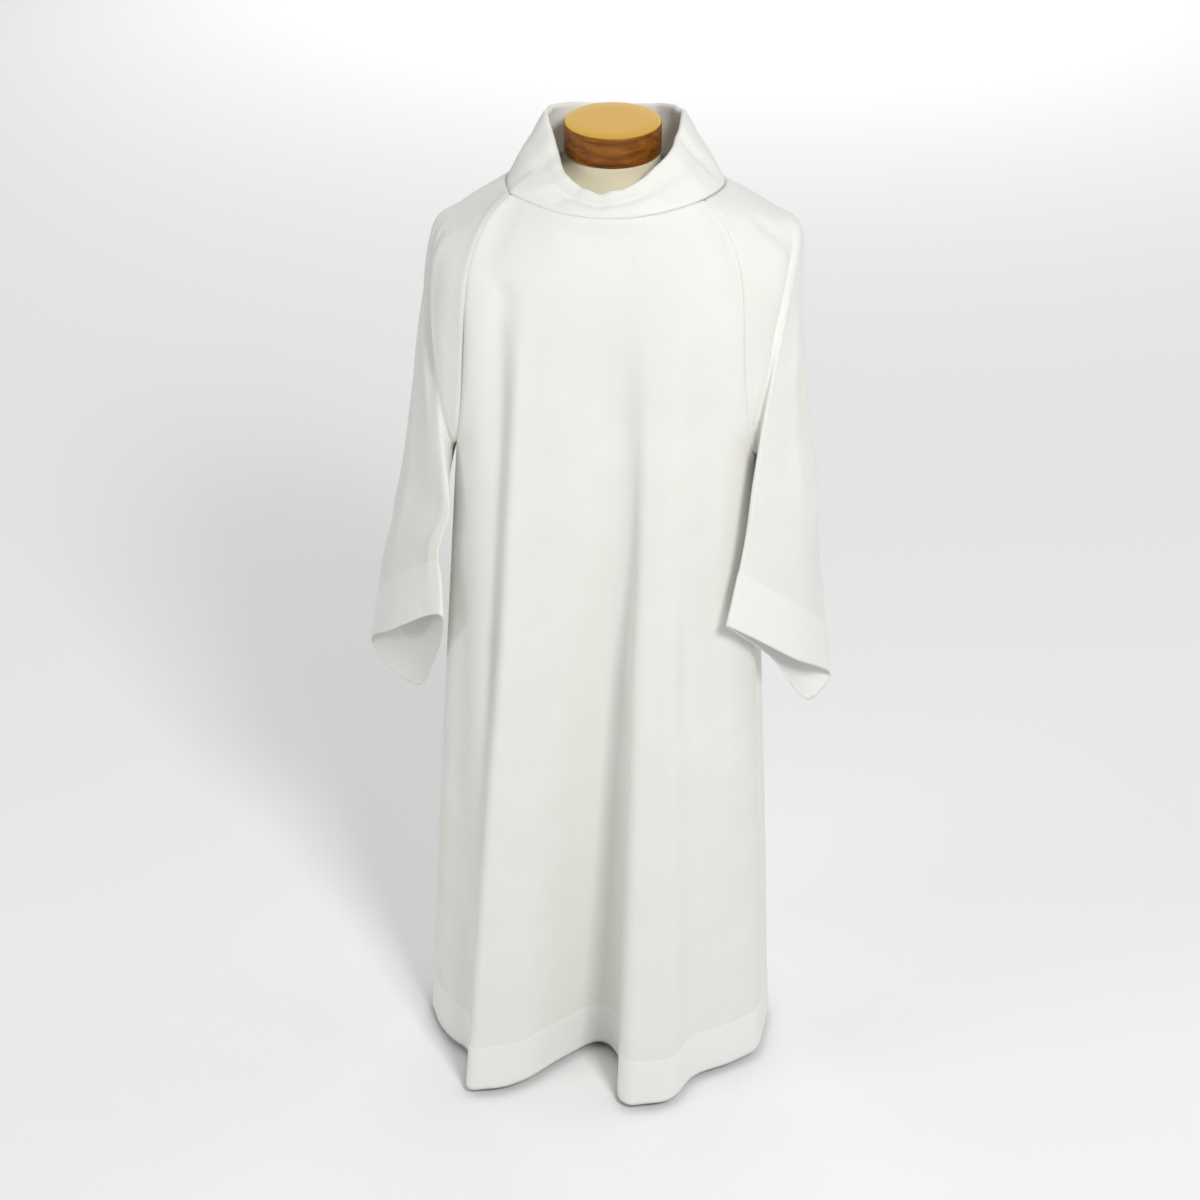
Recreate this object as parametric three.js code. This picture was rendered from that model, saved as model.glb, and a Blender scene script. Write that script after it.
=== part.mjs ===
// A long-sleeved alb with raglan sleeves and a high open funnel collar, worn by a limbless dress form.
// The cloth is a thin wall on every panel: front, back, two sleeves and the collar, cut apart at the seams.
// Millimetres. +Z is up, the front faces -Y, the wearer's left is +X.
// The origin is the centre of the stand's foot, on the floor.
import * as THREE from "three";

const CLOTH = 1.6; // wall of one layer of cloth
const COLLAR_CLOTH = 3; // the collar is folded double
const HEM_CLOTH = 2.6; // wall where the hem is turned up
const HEM_DEPTH = 76; // how far the hem is turned up
const SEAM_GAP = 0.3; // between two panels sewn together

const HEM_Z = 12;
const UNDERARM_Z = 985;
const ARMHOLE_Z = 1045;
const CHEST_Z = 1215;

// ---- small helpers -------------------------------------------------------------------------------

const vec = (x, y, z) => new THREE.Vector3(x, y, z);
const mix = (a, b, t) => a + (b - a) * t;
const clamp01 = (t) => Math.min(1, Math.max(0, t));

// A smooth curve through one column of a table whose rows rise in the column named by `by`.
function column(rows, by, name, at) {
  const last = rows.length - 1;
  const x = Math.min(rows[last][by], Math.max(rows[0][by], at));
  let i = 0;
  while (i < last - 1 && rows[i + 1][by] < x) i += 1;
  const slope = (j) => {
    const low = rows[Math.max(j - 1, 0)];
    const high = rows[Math.min(j + 1, last)];
    return (high[name] - low[name]) / (high[by] - low[by]);
  };
  const span = rows[i + 1][by] - rows[i][by];
  const t = (x - rows[i][by]) / span;
  const rise = rows[i + 1][name] - rows[i][name];
  const start = slope(i) * span;
  const end = slope(i + 1) * span;
  const bend = 3 * rise - 2 * start - end;
  const twist = start + end - 2 * rise;
  return rows[i][name] + t * start + t * t * bend + t * t * t * twist;
}

// The points of a smooth curve through `points`, with `steps` to each stretch between two of them.
function smoothLine(points, steps, closed = false) {
  const curve = new THREE.CatmullRomCurve3(points, closed, "centripetal");
  const count = (closed ? points.length : points.length - 1) * steps;
  const line = [];
  for (let i = 0; i < count + (closed ? 0 : 1); i += 1) line.push(curve.getPoint(i / count));
  return line;
}

const SHARPEST_MITRE = 2.4;

// A piece of cloth as rows of points from its hem up. `facing` is 1 where the rows run anticlockwise seen
// from outside, else -1. Rows up to `closed` are rings whose last point is their first. Each normal is as
// long as the mitre that keeps the wall's thickness round a fold.
function cloth(grid, facing, closed = -1) {
  const rows = grid.length;
  const last = grid[0].length - 1;
  const normals = grid.map((row, r) =>
    row.map((_, c) => {
      const ring = r <= closed && (c === 0 || c === last);
      const here = row[c];
      const next = ring ? row[1] : row[Math.min(c + 1, last)];
      const before = ring ? row[last - 1] : row[Math.max(c - 1, 0)];
      const along = grid[Math.min(r + 1, rows - 1)][c].clone().sub(grid[Math.max(r - 1, 0)][c]);
      const onwards = next.clone().sub(here).cross(along).normalize();
      const behind = here.clone().sub(before).cross(along).normalize();
      const normal = onwards.add(behind);
      const mitre = !ring && (c === 0 || c === last) ? 1 : Math.min(SHARPEST_MITRE, 2 / normal.length());
      return normal.setLength(mitre * facing);
    }),
  );
  for (let r = 0; r <= closed; r += 1) normals[r][last] = normals[r][0];
  return { grid, normals, facing, closed };
}

// Where two pieces are sewn together, both walls are cut along one plane, so that neither reaches into the
// other.
function sew(a, seamA, b, seamB) {
  seamA.forEach(([rowA, columnA], i) => {
    const [rowB, columnB] = seamB[i];
    const normalA = a.normals[rowA][columnA];
    const normalB = b.normals[rowB][columnB];
    if (normalA.dot(normalB) < 0.3) return;
    const shared = normalA.clone().add(normalB).normalize();
    a.normals[rowA][columnA] = shared;
    b.normals[rowB][columnB] = shared.clone();
  });
}

// Draws edge points back from the seam line by half the seam gap.
function drawBack(point, towards) {
  point.add(towards.clone().sub(point).setLength(SEAM_GAP / 2));
}

// The closed wall of a piece of cloth: an outer skin, an inner skin and the rims between them.
function wall({ grid, normals, facing, closed }, thicknessAt) {
  const rows = grid.length;
  const columns = grid[0].length;
  const inner = rows * columns;
  const outerSkin = grid.flat();
  const innerSkin = grid.flatMap((row, r) =>
    row.map((p, c) => p.clone().addScaledVector(normals[r][c], -thicknessAt(p))),
  );
  const faces = [];
  const quad = (a, b, c, d) => (facing > 0 ? faces.push(a, b, c, a, c, d) : faces.push(a, c, b, a, d, c));
  const at = (r, c) => r * columns + (r <= closed && c === columns - 1 ? 0 : c);
  for (let r = 0; r < rows - 1; r += 1) {
    for (let c = 0; c < columns - 1; c += 1) {
      quad(at(r, c), at(r, c + 1), at(r + 1, c + 1), at(r + 1, c));
      quad(inner + at(r, c), inner + at(r + 1, c), inner + at(r + 1, c + 1), inner + at(r, c + 1));
    }
    if (r < closed) continue;
    const c = columns - 1;
    quad(at(r, 0), at(r + 1, 0), inner + at(r + 1, 0), inner + at(r, 0));
    quad(at(r + 1, c), at(r, c), inner + at(r, c), inner + at(r + 1, c));
  }
  for (let c = 0; c < columns - 1; c += 1) {
    quad(at(0, c + 1), at(0, c), inner + at(0, c), inner + at(0, c + 1));
    quad(at(rows - 1, c), at(rows - 1, c + 1), inner + at(rows - 1, c + 1), inner + at(rows - 1, c));
  }
  const positions = [...outerSkin, ...innerSkin].flatMap((p) => [p.x, p.y, p.z]);
  return new THREE.BufferGeometry()
    .setAttribute("position", new THREE.Float32BufferAttribute(positions, 3))
    .setIndex(faces);
}

// A closed solid through rings of points, with a flat cap at each end.
function loft(rings) {
  const around = rings[0].length;
  const positions = rings.flat().flatMap((p) => [p.x, p.y, p.z]);
  const faces = [];
  for (let r = 0; r < rings.length - 1; r += 1) {
    for (let c = 0; c < around; c += 1) {
      const next = (c + 1) % around;
      const [a, b] = [r * around + c, r * around + next];
      faces.push(a, b, b + around, a, b + around, a + around);
    }
  }
  const top = (rings.length - 1) * around;
  for (let c = 1; c < around - 1; c += 1) {
    faces.push(0, c + 1, c);
    faces.push(top, top + c, top + c + 1);
  }
  return new THREE.BufferGeometry()
    .setAttribute("position", new THREE.Float32BufferAttribute(positions, 3))
    .setIndex(faces);
}

// ---- materials -----------------------------------------------------------------------------------

const albCloth = new THREE.MeshStandardMaterial({ color: 0xf3f3ee, roughness: 0.85, metalness: 0 });
const jersey = new THREE.MeshStandardMaterial({ color: 0xe9e2cc, roughness: 0.9, metalness: 0 });
const wood = new THREE.MeshStandardMaterial({ color: 0xb5742f, roughness: 0.35, metalness: 0 });
const steel = new THREE.MeshStandardMaterial({ color: 0xb8babd, roughness: 0.3, metalness: 1 });
const blackPaint = new THREE.MeshStandardMaterial({ color: 0x1d1d1f, roughness: 0.5, metalness: 0.3 });

const object = new THREE.Group();

function place(name, geometry, material) {
  const mesh = new THREE.Mesh(geometry, material);
  mesh.name = name;
  object.add(mesh);
}

// ---- the stand: a four-legged foot and a pole ----------------------------------------------------

const FOOT_HEIGHT = 10;
const LEG_REACH = 150; // centre to the tip of a leg
const LEG_HALF_WIDTH = 16;
const HUB_RADIUS = 34;
const POLE_RADIUS = 12.5;
const FORM_BOTTOM_Z = 640;

// Each leg points at 45 degrees, with a round tip, and the legs meet in a round hub.
function footOutline() {
  const shape = new THREE.Shape();
  const root = Math.asin(LEG_HALF_WIDTH / HUB_RADIUS);
  const tipCentre = LEG_REACH - LEG_HALF_WIDTH;
  for (let leg = 0; leg < 4; leg += 1) {
    const turn = Math.PI / 4 + (leg * Math.PI) / 2;
    const x = Math.cos(turn) * tipCentre;
    const y = Math.sin(turn) * tipCentre;
    const nextTurn = turn + Math.PI / 2;
    if (leg === 0) shape.moveTo(Math.cos(turn - root) * HUB_RADIUS, Math.sin(turn - root) * HUB_RADIUS);
    shape.absarc(x, y, LEG_HALF_WIDTH, turn - Math.PI / 2, turn + Math.PI / 2, false);
    shape.absarc(0, 0, HUB_RADIUS, turn + root, nextTurn - root, false);
  }
  return shape;
}

const footShape = new THREE.ExtrudeGeometry(footOutline(), {
  depth: FOOT_HEIGHT,
  bevelEnabled: false,
  curveSegments: 6,
});
place("stand_foot", footShape, blackPaint);

const poleLength = FORM_BOTTOM_Z - FOOT_HEIGHT;
const poleShape = new THREE.CylinderGeometry(POLE_RADIUS, POLE_RADIUS, poleLength, 24);
poleShape.rotateX(Math.PI / 2).translate(0, 0, FOOT_HEIGHT + poleLength / 2);
place("stand_pole", poleShape, steel);

// ---- the dress form ------------------------------------------------------------------------------

// Oval rings from the hips to the neck. `centre` is how far each sits towards the wearer's left.
const FORM_RINGS = [
  { z: FORM_BOTTOM_Z, half: 158, front: 88, back: 96, centre: 0 },
  { z: 652, half: 166, front: 96, back: 104, centre: 0 },
  { z: 740, half: 172, front: 102, back: 118, centre: 0 },
  { z: 820, half: 160, front: 99, back: 106, centre: 2 },
  { z: 900, half: 148, front: 95, back: 92, centre: 4 },
  { z: 980, half: 150, front: 100, back: 96, centre: 6 },
  { z: 1060, half: 162, front: 111, back: 105, centre: 8 },
  { z: 1140, half: 180, front: 122, back: 112, centre: 9 },
  { z: 1200, half: 202, front: 122, back: 114, centre: 9 },
  { z: 1240, half: 223, front: 113, back: 109, centre: 9 },
  { z: 1264, half: 231, front: 105, back: 104, centre: 9.5 },
  { z: 1280, half: 226, front: 97, back: 98, centre: 12 },
  { z: 1296, half: 206.5, front: 88, back: 91, centre: 12.5 },
  { z: 1312, half: 180.4, front: 79, back: 83, centre: 12.4 },
  { z: 1324, half: 158, front: 72, back: 76, centre: 10.4 },
  { z: 1335, half: 126, front: 66, back: 72, centre: 7 },
  { z: 1346, half: 82, front: 61, back: 64, centre: 4 },
  { z: 1358, half: 64, front: 59, back: 60, centre: 2 },
  { z: 1374, half: 58, front: 58, back: 58, centre: 2 },
];
const FORM_AROUND = 32;
const NECK_TILT = 0.126; // how far the neck's top falls for each millimetre towards the front
const TILT_FROM_Z = 1340;
const neckTop = FORM_RINGS[FORM_RINGS.length - 1];

function formRing({ z, half, front, back, centre }) {
  const ring = [];
  const tilt = NECK_TILT * THREE.MathUtils.smoothstep(z, TILT_FROM_Z, neckTop.z);
  for (let i = 0; i < FORM_AROUND; i += 1) {
    const turn = (i / FORM_AROUND) * 2 * Math.PI;
    const depth = Math.sin(turn) < 0 ? front : back;
    const y = Math.sin(turn) * depth;
    ring.push(vec(centre + Math.cos(turn) * half, y, z + tilt * y));
  }
  return ring;
}

place("form_torso", loft(FORM_RINGS.map(formRing)), jersey);

const CAP_RADIUS = 61;
const CAP_HEIGHT = 39;
const CAP_ROUNDING = 2;
const capProfile = [
  [0, 0],
  [CAP_RADIUS - CAP_ROUNDING, 0],
  [CAP_RADIUS, CAP_ROUNDING],
  [CAP_RADIUS, CAP_HEIGHT - CAP_ROUNDING],
  [CAP_RADIUS - CAP_ROUNDING, CAP_HEIGHT],
  [0, CAP_HEIGHT + 1],
].map(([r, z]) => new THREE.Vector2(r, z));
const capShape = new THREE.LatheGeometry(capProfile, 40);
capShape.rotateX(Math.PI / 2 + Math.atan(NECK_TILT)).translate(neckTop.centre, 0, neckTop.z + SEAM_GAP);
place("form_neck_cap", capShape, wood);

// ---- seam lines ----------------------------------------------------------------------------------

// The side seams from the hem to the underarm.
const UNDERARM = { z: UNDERARM_Z, x: 200, y: -5 };
const LEFT_SIDE_SEAM = [
  { z: HEM_Z, x: 248, y: 0 },
  { z: 300, x: 232, y: 0 },
  { z: 600, x: 213, y: 0 },
  UNDERARM,
];
const RIGHT_SIDE_SEAM = [
  { z: HEM_Z, x: -266, y: 20 },
  { z: 300, x: -249, y: 14 },
  { z: 600, x: -227, y: 6 },
  { ...UNDERARM, x: -UNDERARM.x },
];

// The raglan seams from the underarm to the neckline, a row of points of the panels to each row here.
// These are on the wearer's left. The right side mirrors them.
const FRONT_RAGLAN = [
  UNDERARM,
  { z: 989, x: 198, y: -46 },
  { z: 1003, x: 194, y: -76 },
  { z: 1030, x: 189, y: -95 },
  { z: 1068, x: 184, y: -103 },
  { z: 1116, x: 180, y: -107 },
  { z: 1166, x: 177, y: -110 },
  { z: CHEST_Z, x: 174, y: -112 },
  { z: 1252, x: 169, y: -106 },
  { z: 1282, x: 160, y: -97 },
  { z: 1305, x: 149, y: -87 },
  { z: 1323, x: 136, y: -78 },
  { z: 1336, x: 121, y: -70 },
];
const BACK_RAGLAN = [
  UNDERARM,
  { z: 989, x: 198, y: 36 },
  { z: 1003, x: 195, y: 64 },
  { z: 1030, x: 191, y: 84 },
  { z: 1068, x: 186, y: 94 },
  { z: 1116, x: 180, y: 100 },
  { z: 1166, x: 175, y: 104 },
  { z: CHEST_Z, x: 170, y: 105 },
  { z: 1252, x: 163, y: 97 },
  { z: 1284, x: 152, y: 86 },
  { z: 1309, x: 139, y: 75 },
  { z: 1328, x: 126, y: 64 },
  { z: 1342, x: 113, y: 52 },
];

// ---- front and back ------------------------------------------------------------------------------

// The lines that the cloth falls in, from the wearer's right side round the front to the left side.
// Each is a ridge or a hollow: its x and y at the chest, the armhole, the underarm, the knee and the hem.
const FRONT_LINES = [
  { chest: [-160, -119], armhole: [-176, -108], underarm: [-190, -82], knee: [-230, -50], hem: [-245, -34] },
  { chest: [-134, -127], armhole: [-149, -121], underarm: [-162, -113], knee: [-192, -105], hem: [-207, -94] },
  { chest: [-106, -131], armhole: [-114, -137], underarm: [-120, -141], knee: [-163, -161], hem: [-186, -171] },
  { chest: [-80, -133], armhole: [-86, -139], underarm: [-91, -144], knee: [-129, -164], hem: [-146, -173] },
  { chest: [-52, -134], armhole: [-57, -138], underarm: [-62, -141], knee: [-94, -153], hem: [-106, -152] },
  { chest: [-20, -134], armhole: [-23, -135], underarm: [-25, -136], knee: [-44, -118], hem: [-52, -95] },
  { chest: [15, -133], armhole: [14, -131], underarm: [13, -129], knee: [3, -91], hem: [-4, -58] },
  { chest: [45, -132], armhole: [44, -130], underarm: [43, -129], knee: [38, -106], hem: [33, -92] },
  { chest: [66, -132], armhole: [63, -136], underarm: [60, -140], knee: [50, -166], hem: [41, -181] },
  { chest: [88, -131], armhole: [92, -137], underarm: [95, -143], knee: [103, -170], hem: [103, -182] },
  { chest: [112, -128], armhole: [122, -129], underarm: [130, -130], knee: [144, -137], hem: [149, -134] },
  { chest: [136, -124], armhole: [151, -117], underarm: [163, -110], knee: [180, -101], hem: [193, -88] },
  { chest: [158, -117], armhole: [175, -106], underarm: [189, -80], knee: [215, -54], hem: [236, -53] },
];
// The same from the left side round the back.
const BACK_LINES = [
  { chest: [156, 111], armhole: [178, 95], underarm: [192, 62], knee: [231, 54], hem: [252, 60] },
  { chest: [138, 115], armhole: [160, 106], underarm: [176, 94], knee: [203, 108], hem: [215, 118] },
  { chest: [116, 119], armhole: [134, 118], underarm: [148, 118], knee: [166, 150], hem: [178, 170] },
  { chest: [94, 122], armhole: [106, 125], underarm: [116, 128], knee: [127, 155], hem: [134, 172] },
  { chest: [70, 124], armhole: [78, 125], underarm: [84, 125], knee: [91, 122], hem: [96, 121] },
  { chest: [42, 125], armhole: [46, 126], underarm: [50, 127], knee: [54, 130], hem: [54, 128] },
  { chest: [14, 125], armhole: [16, 128], underarm: [17, 132], knee: [19, 164], hem: [20, 183] },
  { chest: [-14, 125], armhole: [-15, 128], underarm: [-16, 132], knee: [-24, 165], hem: [-28, 185] },
  { chest: [-42, 125], armhole: [-46, 126], underarm: [-50, 128], knee: [-60, 138], hem: [-66, 140] },
  { chest: [-70, 124], armhole: [-78, 125], underarm: [-84, 125], knee: [-99, 123], hem: [-108, 124] },
  { chest: [-94, 122], armhole: [-106, 125], underarm: [-116, 128], knee: [-139, 154], hem: [-152, 170] },
  { chest: [-116, 119], armhole: [-134, 118], underarm: [-148, 118], knee: [-178, 146], hem: [-196, 164] },
  { chest: [-138, 115], armhole: [-160, 106], underarm: [-176, 94], knee: [-215, 104], hem: [-233, 114] },
  { chest: [-156, 111], armhole: [-178, 95], underarm: [-192, 62], knee: [-239, 58], hem: [-260, 66] },
];
const KNEE_Z = 420;
const LINE_STEPS = 2; // columns between two lines

// The rows of points below the underarm: the turned-up hem, the skirt and the body.
const HEM_TOP_Z = HEM_Z + HEM_DEPTH;
const SKIRT_ROWS = [
  { from: HEM_Z, to: HEM_TOP_Z, steps: 2 },
  { from: HEM_TOP_Z, to: KNEE_Z, steps: 3 },
  { from: KNEE_Z, to: UNDERARM_Z, steps: 5 },
].flatMap(({ from, to, steps }) => Array.from({ length: steps }, (_, i) => mix(from, to, i / steps)));
const underarmRow = SKIRT_ROWS.length;
const neckRow = underarmRow + FRONT_RAGLAN.length - 1;

// One panel. `seams` holds its first and last edge; `neck` gives the depth and height of its neckline.
function panel(lines, seams, neck) {
  const { raglan } = seams[0];
  const top = raglan[raglan.length - 1];
  const widest = Math.abs(raglan.find((p) => p.z === CHEST_Z).x);
  const stations = lines.map((line) => {
    const across = line.chest[0] / widest;
    return [
      { z: HEM_Z, x: line.hem[0], y: line.hem[1] },
      { z: KNEE_Z, x: line.knee[0], y: line.knee[1] },
      { z: UNDERARM_Z, x: line.underarm[0], y: line.underarm[1] },
      { z: ARMHOLE_Z, x: line.armhole[0], y: line.armhole[1] },
      { z: CHEST_Z, x: line.chest[0], y: line.chest[1] },
      { z: top.z, x: Math.abs(top.x) * across, y: mix(top.y, neck.y, 1 - across * across) },
    ];
  });
  const onLine = (line, z) => vec(column(line, "z", "x", z), column(line, "z", "y", z), z);
  const onSeam = (seam, z) => onLine(z > UNDERARM_Z ? seam.raglan : seam.side, z);
  const heights = [...SKIRT_ROWS, ...raglan.map((p) => p.z)];
  return heights.map((z) => {
    const points = [onSeam(seams[0], z), ...stations.map((line) => onLine(line, z)), onSeam(seams[1], z)];
    const row = smoothLine(points, LINE_STEPS);
    const rise = clamp01((z - CHEST_Z) / (top.z - CHEST_Z));
    row.slice(1, -1).forEach((p) => {
      p.z -= (top.z - neck.z) * Math.max(0, 1 - (p.x / top.x) ** 2) * rise * rise;
    });
    return row;
  });
}

const mirrored = (rows) => rows.map((row) => ({ ...row, x: -row.x }));
const frontSeams = [
  { side: RIGHT_SIDE_SEAM, raglan: mirrored(FRONT_RAGLAN) },
  { side: LEFT_SIDE_SEAM, raglan: FRONT_RAGLAN },
];
const backSeams = [
  { side: LEFT_SIDE_SEAM, raglan: BACK_RAGLAN },
  { side: RIGHT_SIDE_SEAM, raglan: mirrored(BACK_RAGLAN) },
];

const front = cloth(panel(FRONT_LINES, frontSeams, { y: -115, z: 1321 }), 1);
const back = cloth(panel(BACK_LINES, backSeams, { y: 80, z: 1329 }), 1);

// ---- sleeves -------------------------------------------------------------------------------------

// Each row here is a hoop of the sleeve, from its seam on the front to its seam on the back: over the front,
// the crease that runs from the shoulder to the cuff, the outer side, the back fold and the rear.
// `at` counts the points of the raglan seam up from the underarm. Below it the sleeve is a closed tube, whose
// own seam starts at the underarm.
const LEFT_SLEEVE = [
  {
    at: -8, seam: [288, 31, 577], front: [231, -49, 686], crease: [168, -147, 785],
    outer: [259, -61, 694], back: [317, 52, 604], rear: [306, 46, 584],
  },
  {
    at: -4, seam: [250, 18, 818], front: [213, -68, 862], crease: [189, -130, 905],
    outer: [270, -36, 850], back: [290, 62, 800], rear: [272, 46, 806],
  },
  { at: -2, outer: [283, -10, 900], back: [275, 72, 862] },
  {
    at: 0, seam: [200, -5, 985], front: [205, -68, 966], crease: [197, -120, 985],
    outer: [279, 6, 950], back: [250, 86, 925], rear: [216, 48, 955],
  },
  {
    at: 3, front: [199, -92, 1052], crease: [209, -99, 1078],
    outer: [262, 12, 1060], back: [246, 84, 1030], rear: [220, 97, 1026],
  },
  {
    at: 5, front: [207, -85, 1146], crease: [228, -46, 1190],
    outer: [250, 22, 1180], back: [238, 73, 1142], rear: [214, 96, 1126],
  },
  {
    at: 7, front: [213, -80, 1243], crease: [241.5, -12, 1280],
    outer: [242.4, 20, 1275], back: [230, 58, 1256], rear: [205, 86, 1236],
  },
  {
    at: 9, front: [188, -62, 1301], crease: [205, -12, 1307],
    outer: [206, 14, 1305.5], back: [199, 40, 1301], rear: [180, 64, 1294],
  },
  {
    at: 12, front: [136, -42, 1337.5], crease: [144, -10, 1337.5],
    outer: [143, 12, 1338], back: [136, 30, 1339.5], rear: [126, 43, 1341],
  },
];
const RIGHT_SLEEVE = [
  {
    at: -8, seam: [-281, 42, 567], front: [-242, -30, 638], crease: [-214, -115, 766],
    outer: [-297, -24, 692], back: [-348, 90, 606], rear: [-327, 74, 582],
  },
  { at: -6, crease: [-215, -111, 814] },
  {
    at: -4, seam: [-274, 38, 774], front: [-232, -52, 806], crease: [-217, -106, 862],
    outer: [-294, -4, 818], back: [-317, 80, 772], rear: [-298, 64, 768],
  },
  { at: -2, crease: [-201, -108, 914], outer: [-292, 8, 874] },
  {
    at: 0, seam: [-200, -5, 985], front: [-203, -66, 962], crease: [-204, -104, 962],
    outer: [-281, 16, 930], back: [-258, 92, 905], rear: [-223, 56, 948],
  },
  {
    at: 3, front: [-206, -88, 1050], crease: [-222, -72, 1085],
    outer: [-264, 22, 1046], back: [-250, 84, 1022], rear: [-222, 97, 1021],
  },
  {
    at: 5, front: [-212, -83, 1140], crease: [-231, -34, 1185],
    outer: [-247, 24, 1165], back: [-238, 73, 1136], rear: [-213, 96, 1124],
  },
  {
    at: 7, front: [-205, -80, 1237], crease: [-225, -12, 1271],
    outer: [-227, 20, 1267], back: [-218, 58, 1250], rear: [-198, 86, 1234],
  },
  {
    at: 9, front: [-178, -62, 1294], crease: [-192, -12, 1299],
    outer: [-193, 14, 1298], back: [-187, 40, 1295], rear: [-172, 64, 1290],
  },
  {
    at: 12, front: [-127, -42, 1335.5], crease: [-131.5, -10, 1335],
    outer: [-131, 12, 1336], back: [-126, 30, 1338], rear: [-119, 43, 1340.5],
  },
];
const SLEEVE_STEPS = 4; // columns between two points of a hoop
const SLEEVE_ROWS_BELOW = 8;
const SLEEVE_POINTS = ["front", "crease", "outer", "back", "rear"];

function sleeve(stations, frontEdge, backEdge) {
  const line = (name) =>
    stations
      .filter((station) => station[name])
      .map((station) => ({ at: station.at, x: station[name][0], y: station[name][1], z: station[name][2] }));
  const lines = SLEEVE_POINTS.map(line);
  const under = line("seam");
  const onLine = (rows, at) =>
    vec(column(rows, "at", "x", at), column(rows, "at", "y", at), column(rows, "at", "z", at));
  const rows = [];
  for (let at = -SLEEVE_ROWS_BELOW; at < FRONT_RAGLAN.length; at += 1) {
    const hoop = lines.map((rowsOfLine) => onLine(rowsOfLine, at));
    if (at < 0) {
      const ring = smoothLine([onLine(under, at), ...hoop], SLEEVE_STEPS, true);
      rows.push([...ring, ring[0].clone()]);
    } else {
      const ends = [front.grid[underarmRow + at][frontEdge], back.grid[underarmRow + at][backEdge]];
      rows.push(smoothLine([ends[0], ...hoop, ends[1]], SLEEVE_STEPS));
    }
  }
  return rows;
}

const frontLast = front.grid[0].length - 1;
const backLast = back.grid[0].length - 1;
const leftSleeve = cloth(sleeve(LEFT_SLEEVE, frontLast, 0), 1, SLEEVE_ROWS_BELOW);
const rightSleeve = cloth(sleeve(RIGHT_SLEEVE, 0, backLast), -1, SLEEVE_ROWS_BELOW);
const sleeveLast = leftSleeve.grid[0].length - 1;
const sleeveNeckRow = leftSleeve.grid.length - 1;

// ---- collar --------------------------------------------------------------------------------------

// The rim of the collar from the front middle round by the wearer's left, in plan and height.
const COLLAR_RIM = [
  { x: -10, y: -86, z: 1342 },
  { x: 22, y: -84, z: 1346 },
  { x: 52, y: -70, z: 1362 },
  { x: 76, y: -42, z: 1388 },
  { x: 91, y: 0, z: 1413 },
  { x: 90, y: 38, z: 1417 },
  { x: 64, y: 78, z: 1410 },
  { x: 24, y: 96, z: 1405 },
  { x: -20, y: 96, z: 1405 },
  { x: -62, y: 78, z: 1409 },
  { x: -86, y: 38, z: 1414 },
  { x: -87, y: 0, z: 1409 },
  { x: -73, y: -44, z: 1381 },
  { x: -58, y: -68, z: 1357 },
  { x: -36, y: -82, z: 1344 },
];
const COLLAR_ROWS = 4;
const COLLAR_BULGE = 5;

// The neckline: the front's top row, the left sleeve's, the back's and the right sleeve's.
function neckline() {
  const overShoulder = (piece) => piece.grid[sleeveNeckRow].slice(1, -1);
  const ring = [
    ...front.grid[neckRow],
    ...overShoulder(leftSleeve),
    ...back.grid[neckRow],
    ...overShoulder(rightSleeve).reverse(),
    front.grid[neckRow][0],
  ];
  return ring.map((p) => p.clone());
}

function collarGrid() {
  const seam = neckline();
  const rim = new THREE.CatmullRomCurve3(COLLAR_RIM.map((p) => vec(p.x, p.y, p.z)), true, "centripetal");
  const dense = rim.getPoints(360);
  const bearing = (p) => Math.atan2(p.x, -p.y);
  const rimAt = (angle) =>
    dense.reduce((best, p) => {
      const off = Math.abs(Math.atan2(Math.sin(bearing(p) - angle), Math.cos(bearing(p) - angle)));
      return off < best.off ? { off, p } : best;
    }, { off: 9, p: dense[0] }).p;
  return Array.from({ length: COLLAR_ROWS + 1 }, (_, r) =>
    seam.map((low) => {
      const high = rimAt(bearing(low));
      const t = r / COLLAR_ROWS;
      const outward = vec(low.x, low.y, 0).normalize();
      return low.clone().lerp(high, t).addScaledVector(outward, COLLAR_BULGE * Math.sin(Math.PI * t));
    }),
  );
}

const collar = cloth(collarGrid(), 1, COLLAR_ROWS);

// ---- sewing and walls ----------------------------------------------------------------------------

const rowsFrom = (first, count, at) => Array.from({ length: count }, (_, i) => [first + i, at]);
const columnsFrom = (row, first, count) => Array.from({ length: count }, (_, i) => [row, first + i]);

const sideRows = underarmRow + 1;
sew(front, rowsFrom(0, sideRows, frontLast), back, rowsFrom(0, sideRows, 0));
sew(front, rowsFrom(0, sideRows, 0), back, rowsFrom(0, sideRows, backLast));

const raglanRows = FRONT_RAGLAN.length;
const onPanel = (edge) => rowsFrom(underarmRow, raglanRows, edge);
const onSleeve = (edge) => rowsFrom(SLEEVE_ROWS_BELOW, raglanRows, edge);
sew(front, onPanel(frontLast), leftSleeve, onSleeve(0));
sew(back, onPanel(0), leftSleeve, onSleeve(sleeveLast));
sew(front, onPanel(0), rightSleeve, onSleeve(0));
sew(back, onPanel(backLast), rightSleeve, onSleeve(sleeveLast));

const shoulderCount = sleeveLast - 1;
const collarLeft = frontLast + 1;
const collarBack = collarLeft + shoulderCount;
const collarRight = collarBack + backLast + 1;
const onCollar = (first, count) => columnsFrom(0, first, count);
sew(front, columnsFrom(neckRow, 0, frontLast + 1), collar, onCollar(0, frontLast + 1));
sew(leftSleeve, columnsFrom(sleeveNeckRow, 1, shoulderCount), collar, onCollar(collarLeft, shoulderCount));
sew(back, columnsFrom(neckRow, 0, backLast + 1), collar, onCollar(collarBack, backLast + 1));
const rightShoulder = columnsFrom(sleeveNeckRow, 1, shoulderCount).reverse();
sew(rightSleeve, rightShoulder, collar, onCollar(collarRight, shoulderCount));

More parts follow.
